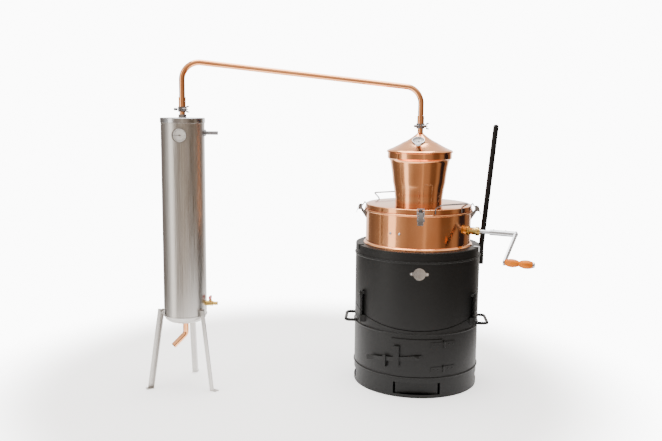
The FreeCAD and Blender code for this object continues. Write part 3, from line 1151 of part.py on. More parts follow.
def build_pipe():
    # The pipe rises from the hat, runs up to the left and drops to the condenser.
    left = "-tank_offset"
    front = "-tank_forward"
    low = "neck_top + pipe_seat"
    end = "neck_high + pipe_seat"
    tube = bent("pipe_tube", [
        ("0", "0", low), ("0", "0", "pipe_right_corner"),
        (left, front, "pipe_left_corner"), (left, front, end)],
        "pipe_bend", "tube_radius", "tube_radius - tube_wall")
    sleeves = [ring("pipe_sleeve_" + name, "tube_radius", "sleeve_radius", split, high, x=x, y=y)
               for name, x, y, split, high in (
                   ("head", "0", "0", low, "head_sleeve_high"),
                   ("tank", left, front, end, "tank_sleeve_high"))]
    sockets = [ring("pipe_socket_" + name, "tube_radius + running_gap", "sleeve_radius", bottom, split,
                    x=x, y=y)
               for name, x, y, bottom, split in (
                   ("head", "0", "0", "head_sleeve_low", low),
                   ("tank", left, front, "tank_sleeve_low", end))]
    keep(fused("vapour_pipe", tube, *sleeves, *sockets))

    # A clamp squeezes the foot of each sleeve. Its bolt lies across, in front.
    clamps = []
    nuts = []
    for name, x, y, low in (("head", "0", "0", "head_sleeve_low"), ("tank", left, front, "tank_sleeve_low")):
        middle = low + " + 1 + clamp_height / 2"
        band = ring("clamp_band_" + name, "sleeve_radius", "sleeve_radius + clamp_wall",
                    low + " + 1", low + " + 1 + clamp_height", x=x, y=y)
        lugs = box("clamp_lugs_" + name, "12", "clamp_bolt_offset - sleeve_radius + 3.5", "clamp_height - 4",
                   x=x + " - 6", y=y + " - clamp_bolt_offset - 5", z=low + " + 3")
        split = box("clamp_split_" + name, "3", "2 * clamp_bolt_offset", "clamp_height + 4",
                    x=x + " - 1.5", y=y + " - 2 * clamp_bolt_offset - 10", z=low)
        eye = rod("clamp_eye_" + name, "clamp_bolt + running_gap", "60", x=x + " - 30",
                  y=y + " - clamp_bolt_offset", z=middle, nod="90")
        bolt = turned("clamp_bolt_" + name, [
            ("0", "-clamp_bolt_reach"), ("5", "-clamp_bolt_reach + 1", dome("5", "1")), ("5", "-15"),
            ("clamp_bolt", "-15"), ("clamp_bolt", "clamp_bolt_reach"), ("0", "clamp_bolt_reach")],
            x=x, y=y + " - clamp_bolt_offset", z=middle, nod="90")
        clamps.append(cut("clamp_" + name, fused("clamp_blank_" + name, band, lugs), split, eye))
        clamps.append(bolt)
        hub = ring("nut_hub_" + name, "clamp_bolt + running_gap", "5", "nut_near", "nut_far",
                   x=x, y=y + " - clamp_bolt_offset", z=middle, nod="90")
        wings = padded("nut_wings_" + name, "XZ_Plane", [
            ("-13", "wing_far"), ("-12.5", "wing_near + 4"), ("-4.5", "wing_near"), ("4.5", "wing_near"),
            ("12.5", "wing_near + 4"), ("13", "wing_far"), ("9.5", "wing_far"), ("4.5", "wing_near + 4"),
            ("-4.5", "wing_near + 4"), ("-9.5", "wing_far")], "3",
            x=x, y=y + " - clamp_bolt_offset", z=middle, nod="90")
        core = rod("nut_core_" + name, "clamp_bolt + running_gap", "40", x=x,
                   y=y + " - clamp_bolt_offset", z=middle, nod="90")
        nuts.append(keep(cut("wing_nut_" + name, fused("nut_blank_" + name, hub, wings), core)))
    keep(group("pipe_clamps", *clamps))


# -------------------------------------------------------------------- latches

def across_latch(label, radius, reach, height, half, azimuth):
    """A pin that lies along the pot's side, at a distance from the axis and a height."""
    return rod(label, radius, "2 * (%s)" % half,
               x="(%s) * sin(%s) - (%s) * cos(%s)" % (reach, azimuth, half, azimuth),
               y="-(%s) * cos(%s) - (%s) * sin(%s)" % (reach, azimuth, half, azimuth),
               z=height, turn=azimuth, nod="90")


def build_latches():
    # Every latch has a bracket on the pot, a lever between the bracket's cheeks
    # and a wire loop that hooks over the lid's keeper.
    bases = []
    lever_pin_out = PIVOT_OUT + " + loop_pivot_out"
    lever_pin_up = PIVOT_UP + " - loop_pivot_drop"
    for name, azimuth in LATCHES:
        wall = "pot_radius + 0.1"
        under = "pot_rim - rim_height - 2"
        outline = [
            (wall, "pot_rim - 40"), (PIVOT_OUT + " - 5", "pot_rim - 16"), (PIVOT_OUT + " + 5", "pot_rim + 2"),
            (PIVOT_OUT + " + 5", PIVOT_UP), (PIVOT_OUT + " - 5", PIVOT_UP, "5.01"),
            (PIVOT_OUT + " - 5", "pot_rim - 2"), ("rim_radius + 2.5", under), (wall, under)]
        block = radial("latch_block_" + name, outline, "2 * (latch_lever_half + 1 + latch_sheet)", azimuth)
        gap = radial("latch_gap_" + name, rectangle(
            wall + " + latch_sheet", "pot_rim - 60", PIVOT_OUT + " + 20", "pot_rim + 40"),
            "2 * (latch_lever_half + 1)", azimuth)
        bases.append(cut("latch_bracket_" + name, block, gap))
        bases.append(across_latch("latch_axle_" + name, "latch_pin", PIVOT_OUT, PIVOT_UP,
                                  "latch_lever_half + 1", azimuth))

        # The lever: two ears round the pin, and a plate that leans outwards.
        ears = radial("lever_ears_" + name, [
            (PIVOT_OUT + " + 3.5", PIVOT_UP + " + 3"), (PIVOT_OUT + " - 3.5", PIVOT_UP + " + 3"),
            (PIVOT_OUT + " - 3.5", PIVOT_UP + " - 3"), (PIVOT_OUT + " + 1", PIVOT_UP + " - 17"),
            (PIVOT_OUT + " + 11", PIVOT_UP + " - 17"), (PIVOT_OUT + " + 7", PIVOT_UP + " + 3")],
            "2 * latch_lever_half", azimuth)
        slot = radial("lever_slot_" + name, rectangle(
            PIVOT_OUT + " - 20", PIVOT_UP + " - 30", PIVOT_OUT + " + 5.5", PIVOT_UP + " + 20"),
            "2 * (latch_lever_half - latch_sheet)", azimuth)
        plate = radial("lever_plate_" + name, [
            (PIVOT_OUT + " + 6.2", PIVOT_UP + " + 3"), (PIVOT_OUT + " + 15.2", PIVOT_UP + " - 25"),
            (PIVOT_OUT + " + 18.2", PIVOT_UP + " - 30"), (PIVOT_OUT + " + 18.2", PIVOT_UP + " - 27"),
            (PIVOT_OUT + " + 8", PIVOT_UP + " + 3")], "2 * latch_lever_half", azimuth)
        tail = radial("lever_tail_" + name, [
            (PIVOT_OUT + " + 13.2", PIVOT_UP + " - 19"), (PIVOT_OUT + " + 15.2", PIVOT_UP + " - 25"),
            (PIVOT_OUT + " + 18.2", PIVOT_UP + " - 30"), (PIVOT_OUT + " + 18.2", PIVOT_UP + " - 27"),
            (PIVOT_OUT + " + 15", PIVOT_UP + " - 19")], "2 * latch_half + 2 * latch_pin", azimuth)
        holes = [across_latch("lever_eye_" + name, "latch_pin + running_gap", PIVOT_OUT, PIVOT_UP,
                              "latch_half + 5", azimuth),
                 across_latch("lever_loop_eye_" + name, "latch_pin + running_gap", lever_pin_out,
                              lever_pin_up, "latch_half + 5", azimuth)]
        solid = cut("lever_bent_" + name, ears, slot)
        keep(cut("latch_lever_" + name, fused("lever_blank_" + name, solid, plate, tail), *holes))

        # The loop is one wire, closed by its bar through the lever.
        low = across_latch("loop_bar_" + name, "latch_pin", lever_pin_out, lever_pin_up,
                           "latch_half", azimuth)
        high = across_latch("loop_top_" + name, "latch_pin", "loop_top_reach", "lid_skirt + loop_top_rise",
                            "latch_half", azimuth)
        rise = "(lid_skirt + loop_top_rise - (%s))" % lever_pin_up
        inward = "(%s - loop_top_reach)" % lever_pin_out
        length = "sqrt(%s ^ 2 + %s ^ 2)" % (rise, inward)
        sides = []
        for side, offset in (("one", "latch_half"), ("two", "-latch_half")):
            wire = rod("loop_wire_%s_%s" % (side, name), "latch_pin", length,
                       x="(%s) * sin(%s) + %s * cos(%s)" % (lever_pin_out, azimuth, offset, azimuth),
                       y="-(%s) * cos(%s) + %s * sin(%s)" % (lever_pin_out, azimuth, offset, azimuth),
                       z=lever_pin_up, turn=azimuth, lean="-atan(%s / %s)" % (inward, rise))
            sides.append(wire)
        corners = []
        for end, reach, height in (("low", lever_pin_out, lever_pin_up),
                                   ("high", "loop_top_reach", "lid_skirt + loop_top_rise")):
            for side, offset in (("one", "latch_half"), ("two", "-latch_half")):
                ball = document.addObject("Part::Sphere", "loop_corner_%s_%s_%s" % (end, side, name))
                bind(ball, Radius="latch_pin")
                place(ball, x="(%s) * sin(%s) + %s * cos(%s)" % (reach, azimuth, offset, azimuth),
                      y="-(%s) * cos(%s) + %s * sin(%s)" % (reach, azimuth, offset, azimuth), z=height)
                corners.append(ball)
        keep(fused("latch_loop_" + name, low, high, *sides, *corners))
    keep(group("latch_bases", *bases))


# --------------------------------------------------------------- thermometers

def build_thermometer(name, dial, foot, probe, **where):
    """A dial thermometer along its own Z axis, from its foot outwards. The needle turns."""
    back = "%s + stem_length" % foot
    front = "%s + stem_length + case_depth" % foot
    case = turned(name + "_case", [
        ("0", probe), ("probe_radius", probe), ("probe_radius", foot + " + fit_gap"),
        ("stem_radius + 4", foot + " + fit_gap"), ("stem_radius + 4", foot + " + 6"),
        ("stem_radius", foot + " + 7"), ("stem_radius", back), (dial, back), (dial, front),
        (dial + " - 2.5", front), (dial + " - 2.5", front + " - 1"), (dial + " - 1.5", front + " - 1"),
        (dial + " - 1.5", back + " + 1.5"), ("0", back + " + 1.5")], **where)
    face = turned(name + "_face", [
        ("0", back + " + 1.5"), (dial + " - 1.5", back + " + 1.5"), (dial + " - 1.5", back + " + 2.2"),
        ("needle_pin", back + " + 2.2"), ("needle_pin", front + " - 3.4"), ("0", front + " - 3.4")],
        **where)
    glass = turned(name + "_glass", rectangle("0", front + " - 3", dial + " - 1.5", front + " - 1"), **where)
    keep(group(name, case, face, glass))
    hub = ring(name + "_needle_hub", "needle_pin + running_gap", "3", back + " + 4", back + " + 5.5", **where)
    pointer = padded(name + "_pointer", "XY_Plane", [
        ("-7", "-1.4"), ("%s - 6" % dial, "-0.4"), ("%s - 6" % dial, "0.4"), ("-7", "1.4")],
        "0.8", middle=False)
    # the pointer lies in front of the dial, square to the stem
    lean = where["lean"]
    turn = where["turn"]
    reach = "(%s + 4.4)" % back
    shift = dict(where, spin="180")
    shift["x"] += " + %s * sin(%s) * sin(%s)" % (reach, lean, turn)
    shift["y"] += " - %s * sin(%s) * cos(%s)" % (reach, lean, turn)
    shift["z"] += " + %s * cos(%s)" % (reach, lean)
    place(pointer, **shift)
    bore = rod(name + "_needle_bore", "needle_pin + running_gap", "400", **where)
    keep(cut(name + "_needle", fused(name + "_needle_blank", hub, pointer), bore))


# ------------------------------------------------------------------ condenser

def build_condenser():
    here = {"x": "-tank_offset", "y": "-tank_forward"}
    inside = "tank_radius - tank_wall"
    shell = ring("tank_shell", inside, "tank_radius", "tank_low", "tank_high", **here)
    holes = [
        rod("nipple_hole", "nipple_radius", "tank_radius + 20", x="-tank_offset", y="-tank_forward",
            z="nipple_height", nod="90"),
        rod("valve_hole", "valve_radius", "tank_radius + 20", x="-tank_offset", y="-tank_forward",
            z="valve_height", nod="90"),
        rod("dial_hole", "stem_radius - 1.5", "tank_radius + 20", x="-tank_offset", y="-tank_forward",
            z="tank_dial_height", turn="tank_dial_angle", lean="90")]
    keep(cut("condenser_tank", shell, *holes))
    keep(turned("condenser_cap", [
        (inside, "tank_high"), ("cap_radius", "tank_high"), ("cap_radius", "cap_top - 3"),
        ("cap_radius - 3", "cap_top", "3"), ("tube_radius", "cap_top"), ("tube_radius", "cap_top - 2"),
        ("cap_radius - 4", "cap_top - 2"), ("cap_radius - 4", "cap_top - 4"), (inside, "cap_top - 4")],
        **here))
    keep(turned("condenser_base", [
        ("tube_radius", "dish_low"), ("tank_radius - 24", "dish_low"), ("tank_radius", "tank_low - 4", "30"),
        ("cap_radius", "tank_low - 2"), ("cap_radius", "tank_low"), (inside, "tank_low"),
        ("tank_radius - 25", "dish_low + tank_wall", "-30"), ("tube_radius", "dish_low + tank_wall")],
        **here))

    # The coil hangs inside. Its ends run to the neck above and the spout below.
    pitch = "(coil_high - coil_low) / coil_turns"
    helix = Part.makeHelix(value(pitch), value("coil_high - coil_low"), value("coil_radius"))
    helix.translate(FreeCAD.Vector(0, 0, value("coil_low")))
    start = FreeCAD.Vector(value("coil_radius"), 0, value("coil_low"))
    section = Part.Wire(Part.Circle(start, FreeCAD.Vector(0, 1, 0), value("coil_tube")).toShape())
    winding = Part.Wire(helix.Edges).makePipeShell([section], True, True)
    leads = []
    for height, end in (("coil_high", "cap_top - 2"), ("coil_low", "dish_low")):
        level = value(height)
        target = FreeCAD.Vector(0, 0, value(end))
        corner = FreeCAD.Vector(0, 0, level)
        across = Part.makeCylinder(value("coil_tube"), value("coil_radius"), corner, FreeCAD.Vector(1, 0, 0))
        upright = Part.makeCylinder(value("coil_tube"), abs(target.z - level), corner, target - corner)
        knob = Part.makeSphere(value("coil_tube"), corner)
        bend = Part.makeSphere(value("coil_tube"), corner + FreeCAD.Vector(value("coil_radius"), 0, 0))
        leads += [across, upright, knob, bend]
    coil = document.addObject("Part::Feature", "cooling_coil")
    coil.Shape = winding.fuse(leads)
    keep(place(coil, **here))

    neck = ring("neck_tube", "tube_radius - tube_wall", "tube_radius", "cap_top - 2", "neck_high", **here)
    hexagon = document.addObject("Part::Prism", "neck_hexagon")
    hexagon.Polygon = 6
    bind(hexagon, Circumradius="hex_across / sqrt(3)", Height="12")
    place(hexagon, z="cap_top", **here)
    nut = cut("neck_nut", hexagon, rod("neck_nut_bore", "tube_radius", "neck_high", z="cap_top - 1", **here))
    keep(group("condenser_neck", neck, nut))

    # The water nipple is a plain tube with a collar against the tank.
    outer = "nipple_radius"
    end = "tank_radius + nipple_length"
    keep(turned("water_nipple", [
        ("nipple_radius - 2", "tank_radius - 4"), (outer, "tank_radius - 4"),
        (outer, "tank_radius + face_gap"), ("nipple_radius + 5", "tank_radius + face_gap"),
        ("nipple_radius + 5", "tank_radius + 6"),
        (outer, "tank_radius + 7"), (outer, end + " - 0.6"), ("nipple_radius - 0.6", end),
        ("nipple_radius - 2", end)], z="nipple_height", turn="90", lean="90", **here))

    # drain valve: a body with a flange and an open nozzle, and a handle on a stem
    end = "tank_radius + valve_length"
    body = turned("valve_barrel", [
        ("valve_radius - 2.5", "tank_radius - 4"), ("valve_radius", "tank_radius - 4"),
        ("valve_radius", "tank_radius + face_gap"), ("valve_body", "tank_radius + face_gap"),
        ("valve_body", "tank_radius + valve_shoulder"),
        ("valve_radius", "tank_radius + valve_shoulder + 2"), ("valve_radius", end),
        ("valve_radius - 2.5", end)], z="valve_height", turn="90", lean="90", **here)
    middle = "-tank_offset + tank_radius + valve_out"
    bonnet = rod("valve_bonnet", "valve_stem + 3", "6", x=middle, y="-tank_forward",
                 z="valve_height + valve_body - 1")
    drill = rod("valve_drill", "valve_stem + running_gap", "20", x=middle, y="-tank_forward",
                z="valve_height + valve_body - 2.2")
    keep(cut("drain_valve", fused("valve_blank", body, bonnet), drill))
    stem = rod("valve_spindle", "valve_stem", "9", x=middle, y="-tank_forward",
               z="valve_height + valve_body - 2")
    grip = padded("valve_lever", "YZ_Plane", [
        ("-15", "16"), ("-12", "8"), ("-5", "5.5"), ("5", "5.5"), ("12", "8"), ("15", "16"), ("12", "18.5"),
        ("-12", "18.5")], "7", x=middle, y="-tank_forward", z="valve_height + valve_body")
    keep(fused("valve_handle", stem, grip))

    # Each leg is a splayed angle iron with a bracket at its top and a flat foot.
    slope = "atan((leg_foot - cap_radius - 3) / leg_top)"
    legs = []
    for name, azimuth in (("left", "-60"), ("right", "60"), ("rear", "180")):
        def reach(distance, along):
            x = "-tank_offset + (%s) * sin(%s) + (%s) * cos(%s)" % (distance, azimuth, along, azimuth)
            y = "-tank_forward - (%s) * cos(%s) + (%s) * sin(%s)" % (distance, azimuth, along, azimuth)
            return {"x": x, "y": y}
        iron = padded("leg_iron_" + name, "XY_Plane", [
            ("-leg_side / 2", "0"), ("-leg_side / 2", "-leg_side"),
            ("-leg_side / 2 + leg_thickness", "-leg_side"),
            ("-leg_side / 2 + leg_thickness", "-leg_thickness"), ("leg_side / 2", "-leg_thickness"),
            ("leg_side / 2", "0")], "leg_top / cos(%s) + 12" % slope, middle=False,
            z="-4", turn=azimuth, lean="-(%s)" % slope, **reach("leg_foot", "0"))
        below = box("leg_ground_" + name, "200", "200", "50", z="-50",
                    x="-tank_offset + leg_foot * sin(%s) - 100" % azimuth,
                    y="-tank_forward - leg_foot * cos(%s) - 100" % azimuth)
        tab = box("leg_tab_" + name, "leg_side + 2", "leg_side + 8", "3", turn=azimuth,
                  **reach("leg_foot + leg_side + 8", "-leg_side / 2 - 1"))
        bracket = box("leg_bracket_" + name, "leg_side + 4", "3.6", "26", z="leg_top - 16", turn=azimuth,
                      **reach("cap_radius + 3.8", "-leg_side / 2 - 2"))
        leg = cut("leg_cut_" + name, iron, below)
        bolt = turned("leg_bolt_" + name, [
            ("0", "0"), ("5.5", "0"), ("5.5", "5"), ("0", "7", dome("5.5", "2"))],
            z="leg_top - 2", turn=azimuth, lean="90", **reach("cap_radius + 4.6", "2"))
        legs.append(fused("leg_" + name, leg, tab, bracket, bolt))
    keep(group("condenser_legs", *legs))

    # The spout leaves the base through a boss and turns to the front left.
    tube = bent("spout_tube", [
        ("0", "0", "dish_low"), ("0", "0", "spout_corner"), ("-spout_side", "-spout_front", "spout_end")],
        "spout_bend", "tube_radius", "tube_radius - tube_wall", **here)
    boss = ring("spout_boss", "tube_radius", "tube_radius + 4", "dish_low - 9", "dish_low", **here)
    keep(fused("distillate_spout", tube, boss))


# ------------------------------------------------------------- build and save

core = build_stove()
build_ash_tray()
build_door()
rivets = build_jacket(core)
build_lever()
build_pot()
build_crank()
screws = build_stirrer()
build_lid()
build_hat()
build_pipe()
build_latches()
build_condenser()
build_thermometer("hat_thermometer", "hat_dial", "0", "-14", x="hat_dial_reach * sin(hat_dial_angle)",
                  y="-hat_dial_reach * cos(hat_dial_angle)", z="hat_dial_foot",
                  turn="hat_dial_angle", lean="hat_dial_lean")
build_thermometer("tank_thermometer", "tank_dial", "tank_radius", "tank_radius - 40",
                  x="-tank_offset", y="-tank_forward", z="tank_dial_height",
                  turn="tank_dial_angle", lean="90")
keep(group("kettle_fasteners", *rivets, *screws))
document.recompute()

faults = [item.Name for item in document.Objects if {"Invalid", "Error"} & set(item.State)]
for item in sub_parts:
    if item.Shape.isNull() or not item.Shape.isValid() or not item.Shape.Solids:
        faults.append(item.Label)
if faults:
    raise RuntimeError("not built: " + ", ".join(sorted(set(faults))))
os.makedirs("parts", exist_ok=True)
for item in sub_parts:
    item.Shape.exportStep("parts/%s.step" % item.Label)
    print("%-28s %3d solids %12.1f mm3" % (item.Label, len(item.Shape.Solids), item.Shape.Volume))
print(len(sub_parts), "sub-parts")
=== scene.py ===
# %% [markdown]
# # A copper pot still on its stove
#
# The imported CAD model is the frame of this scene. It gives every size and every
# place. This script adds the finishes, smooth copies of the round pieces, and
# the small pieces that only matter to the eye: dial marks, rivets, weld beads
# and seams.

import json
import math

import bmesh
import bpy
from mathutils import Matrix, Vector


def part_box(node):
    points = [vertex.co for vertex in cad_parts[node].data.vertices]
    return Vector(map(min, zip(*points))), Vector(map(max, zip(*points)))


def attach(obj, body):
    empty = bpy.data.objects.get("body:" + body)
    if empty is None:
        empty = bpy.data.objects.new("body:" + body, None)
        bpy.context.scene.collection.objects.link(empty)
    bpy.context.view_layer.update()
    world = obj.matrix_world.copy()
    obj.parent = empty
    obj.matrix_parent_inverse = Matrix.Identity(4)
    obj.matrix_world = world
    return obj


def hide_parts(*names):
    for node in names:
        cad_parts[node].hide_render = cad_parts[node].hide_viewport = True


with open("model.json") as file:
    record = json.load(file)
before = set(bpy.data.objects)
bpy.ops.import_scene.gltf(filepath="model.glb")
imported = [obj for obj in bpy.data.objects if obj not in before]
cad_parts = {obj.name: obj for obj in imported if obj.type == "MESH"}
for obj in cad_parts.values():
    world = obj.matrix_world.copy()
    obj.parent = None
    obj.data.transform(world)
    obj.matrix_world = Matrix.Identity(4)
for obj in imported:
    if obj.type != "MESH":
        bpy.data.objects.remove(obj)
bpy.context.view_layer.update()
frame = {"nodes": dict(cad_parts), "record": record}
nodes = frame["nodes"]
record = frame["record"]
bodies = record["behaviour"]["bodies"]
body_of_node = {node: body for body, members in bodies.items() for node in members}
slot_of_node = {row["node"]: row["material_slot"] for row in record["subparts"]}
joints = {joint["name"]: joint for joint in record["behaviour"]["joints"]}
MM = 0.001

# %% [markdown]
# ## Finishes
#
# Every finish is a procedural material on Object coordinates, in metres. A noise
# texture breaks up the gloss, because real copper and steel are never evenly
# polished. The helper below starts a material with its shader and one mapped
# noise, and each finish then wires up only what makes it different.

# %% A material with one noise texture
def start_finish(name, colour, metallic, roughness, noise_scale=(20, 20, 20), detail=3):
    """A material with its shader's own values set, and a noise on Object coordinates."""
    material = bpy.data.materials.new(name)
    material.use_nodes = True
    tree = material.node_tree
    shader = tree.nodes["Principled BSDF"]
    shader.inputs["Base Color"].default_value = (*colour, 1)
    shader.inputs["Metallic"].default_value = metallic
    shader.inputs["Roughness"].default_value = roughness
    place = tree.nodes.new("ShaderNodeTexCoord")
    mapping = tree.nodes.new("ShaderNodeMapping")
    mapping.inputs["Scale"].default_value = noise_scale
    noise = tree.nodes.new("ShaderNodeTexNoise")
    noise.inputs["Scale"].default_value = 1
    noise.inputs["Detail"].default_value = detail
    tree.links.new(place.outputs["Object"], mapping.inputs["Vector"])
    tree.links.new(mapping.outputs["Vector"], noise.inputs["Vector"])
    return material, tree, shader, noise


def vary_roughness(tree, shader, noise, low, high):
    """The noise moves the roughness between two values."""
    ramp = tree.nodes.new("ShaderNodeMapRange")
    ramp.inputs["From Min"].default_value = 0.3
    ramp.inputs["From Max"].default_value = 0.7
    ramp.inputs["To Min"].default_value = low
    ramp.inputs["To Max"].default_value = high
    tree.links.new(noise.outputs["Fac"], ramp.inputs["Value"])
    tree.links.new(ramp.outputs["Result"], shader.inputs["Roughness"])


def vary_colour(tree, shader, noise, dark, light, low=0.3, high=0.7):
    """The noise moves the base colour between two colours."""
    ramp = tree.nodes.new("ShaderNodeValToRGB")
    ramp.color_ramp.elements[0].position = low
    ramp.color_ramp.elements[0].color = (*dark, 1)
    ramp.color_ramp.elements[1].position = high
    ramp.color_ramp.elements[1].color = (*light, 1)
    tree.links.new(noise.outputs["Fac"], ramp.inputs["Fac"])
    tree.links.new(ramp.outputs["Color"], shader.inputs["Base Color"])


def raise_bumps(tree, shader, noise, strength, distance):
    """The noise also tilts the surface a little."""
    bump = tree.nodes.new("ShaderNodeBump")
    bump.inputs["Strength"].default_value = strength
    bump.inputs["Distance"].default_value = distance
    tree.links.new(noise.outputs["Fac"], bump.inputs["Height"])
    tree.links.new(bump.outputs["Normal"], shader.inputs["Normal"])


# %% [markdown]
# ## Copper, brass and steel
#
# The pot, the lid, the hat and the pipe are spun and polished copper. It is
# nearly a mirror, so most of its look is what it reflects. The condenser and its
# legs are brushed stainless steel: its noise is stretched along Z, which gives
# the fine upright lines of the brushing.

# %% Metals
def make_copper():
    material, tree, shader, noise = start_finish("copper", (0.88, 0.39, 0.17), 1.0, 0.10, (9, 9, 5))
    vary_roughness(tree, shader, noise, 0.09, 0.17)
    vary_colour(tree, shader, noise, (0.83, 0.34, 0.14), (0.92, 0.44, 0.21))
    raise_bumps(tree, shader, noise, 0.35, 0.003)
    return material


def make_brass():
    material, tree, shader, noise = start_finish(
        "brass", (0.62, 0.42, 0.13), 1.0, 0.22, (60, 60, 60))
    vary_roughness(tree, shader, noise, 0.14, 0.30)
    return material


def make_stainless():
    material, tree, shader, noise = start_finish(
        "stainless", (0.50, 0.48, 0.46), 1.0, 0.3, (900, 900, 6), 2)
    vary_roughness(tree, shader, noise, 0.26, 0.40)
    vary_colour(tree, shader, noise, (0.40, 0.385, 0.365), (0.56, 0.545, 0.525))
    return material


def make_satin_steel():
    """Darker, duller steel, for the latches and for the nodes named in SATIN_NODES below."""
    material, tree, shader, noise = start_finish(
        "satin_steel", (0.26, 0.26, 0.27), 1.0, 0.30, (80, 80, 80))
    vary_roughness(tree, shader, noise, 0.24, 0.36)
    return material


def make_bright_steel():
    """Polished steel, for the thermometers and for the nodes named in BRIGHT_NODES below."""
    material, tree, shader, noise = start_finish(
        "bright_steel", (0.50, 0.51, 0.53), 1.0, 0.18, (80, 80, 80))
    vary_roughness(tree, shader, noise, 0.14, 0.26)
    return material


# %% [markdown]
# ## Paint, iron, wood and the rest
#
# The stove has a satin black heat-proof paint with a very fine grain. The crank's
# grip is turned wood under orange varnish. Its grain could be a wave texture, but
# a noise that is stretched along the grip is enough for so small a piece.

# %% Paints and the wood
def make_black_steel():
    material, tree, shader, noise = start_finish(
        "black_steel", (0.005, 0.005, 0.005), 0.0, 0.42, (300, 300, 300), 4)
    shader.inputs["Specular IOR Level"].default_value = 0.24
    vary_roughness(tree, shader, noise, 0.40, 0.52)
    raise_bumps(tree, shader, noise, 0.06, 0.0004)
    return material


def make_cast_iron():
    material, tree, shader, noise = start_finish(
        "cast_iron", (0.05, 0.05, 0.05), 0.7, 0.7, (260, 260, 260), 4)
    vary_roughness(tree, shader, noise, 0.55, 0.85)
    raise_bumps(tree, shader, noise, 0.4, 0.001)
    return material


def make_plain(name, colour, metallic, roughness):
    material, tree, shader, noise = start_finish(name, colour, metallic, roughness, (150, 150, 150))
    vary_roughness(tree, shader, noise, roughness * 0.85, roughness * 1.15)
    return material


GRAIN = (6 * MM, 6 * MM, 90 * MM)


def make_wood():
    """Varnished wood whose grain runs along the grip: its mapping is turned to the grip's axis."""
    along = Vector(joints["grip_spin"]["axis"]).to_track_quat("Z", "Y").to_euler()
    material, tree, shader, noise = start_finish("wood", (0.62, 0.17, 0.003), 0.0, 0.45, detail=5)
    mapping = [node for node in tree.nodes if node.type == "MAPPING"][0]
    mapping.vector_type = "TEXTURE"
    mapping.inputs["Rotation"].default_value = along
    mapping.inputs["Scale"].default_value = GRAIN
    vary_colour(tree, shader, noise, (0.52, 0.105, 0.0), (0.80, 0.22, 0.0))
    shader.inputs["Specular IOR Level"].default_value = 0.2
    return material


def make_glass():
    """Clear dial glass: a thin gloss that lets the light through to the dial."""
    material, _, shader, _ = start_finish("dial_glass", (1, 1, 1), 0.0, 0.03)
    shader.inputs["Alpha"].default_value = 0.10
    return material


finishes = {
    "black_steel": make_black_steel(),
    "cast_iron": make_cast_iron(),
    "copper": make_copper(),
    "brass": make_brass(),
    "stainless": make_stainless(),
    "gasket": make_plain("gasket", (0.30, 0.05, 0.03), 0.0, 0.6),
    "wood": make_wood(),
    "red_paint": make_plain("red_paint", (0.55, 0.02, 0.015), 0.0, 0.3),
    "black_paint": make_plain("black_paint", (0.01, 0.01, 0.01), 0.0, 0.4),
}
bright_steel = make_bright_steel()
satin_steel = make_satin_steel()
dial_white = make_plain("dial_white", (0.85, 0.85, 0.83), 0.0, 0.45)
dial_glass = make_glass()
others = (bright_steel, satin_steel, dial_white, dial_glass)
print("finishes:", ", ".join([*finishes, *(finish.name for finish in others)]))

# %% [markdown]
# ## Smooth copies of the CAD pieces
#
# A CAD node arrives as loose triangles. That is right for sizes but leaves a
# polished cylinder faceted. A copy of each node has its doubles merged and is
# shaded smooth up to a sharp angle, so that copper mirrors the studio in clean
# upright bands.

# %% Nodes whose finish isn't the one of their slot
SATIN_NODES = ("lid_fittings", "water_nipple", "pipe_clamps", "wing_nut_head", "wing_nut_tank")
BRIGHT_NODES = ("kettle_fasteners", "name_plate", "crank_arm", "crank_hub", "crank_shaft",
                "condenser_cap")
own_finish = {name: satin_steel for name in nodes
              if name.startswith("latch_") or name in SATIN_NODES}
own_finish.update({name: bright_steel for name in BRIGHT_NODES})
print("nodes with a finish of their own:", len(own_finish))

# %% Smooth copies
SHARP = math.radians(32)
MERGE = 0.002 * MM


def own(piece, body, material=None, replaces=()):
    """Puts a new piece on its body and finish."""
    if material:
        piece.data.materials.clear()
        piece.data.materials.append(material)
    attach(piece, body)
    if replaces:
        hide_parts(*replaces)


def new_piece(name, data):
    """A new object in the scene, which holds a mesh, a number's curve, a light or the camera."""
    piece = bpy.data.objects.new(name, data)
    bpy.context.scene.collection.objects.link(piece)
    return piece


def merged(name):
    """A node's triangles, joined where their corners meet."""
    work = bmesh.new()
    work.from_mesh(nodes[name].data)
    bmesh.ops.remove_doubles(work, verts=work.verts, dist=MERGE)
    return work


def shaded(work, mesh):
    """Writes the work to a mesh, smooth up to the sharp angle."""
    for face in work.faces:
        face.smooth = True
    for edge in work.edges:
        if len(edge.link_faces) == 2 and edge.calc_face_angle(0) > SHARP:
            edge.smooth = False
    work.to_mesh(mesh)
    work.free()
    return mesh


def smooth_copy(name):
    """A merged, smooth-shaded copy that stands for a CAD node."""
    piece = new_piece(name + "_smooth", shaded(merged(name), nodes[name].data.copy()))
    material = own_finish.get(name, finishes[slot_of_node[name]])
    own(piece, body_of_node[name], material, [name])


# %% [markdown]
# ## Nodes with two finishes
#
# A CAD node can hold several solids that don't look alike: a thermometer's case
# and its glass, or a steel nut round a copper neck. Such a node is parted into
# two pieces, and a small test picks each face's finish by where the face lies.

# %% Part a node by where its faces lie
def part_node(name, chosen, first, second):
    """Two pieces from one node: the faces that a test chooses, and all the others."""
    for picked, ending, material in ((True, "one", first), (False, "two", second)):
        work = merged(name)
        drop = [face for face in work.faces
                if all(chosen(corner.co) for corner in face.verts) != picked]
        bmesh.ops.delete(work, geom=drop, context="FACES")
        label = "%s_%s" % (name, ending)
        mesh = shaded(work, bpy.data.meshes.new(label))
        piece = new_piece(label, mesh)
        own(piece, body_of_node[name], material, [name])
        print(label, len(mesh.polygons), "faces")


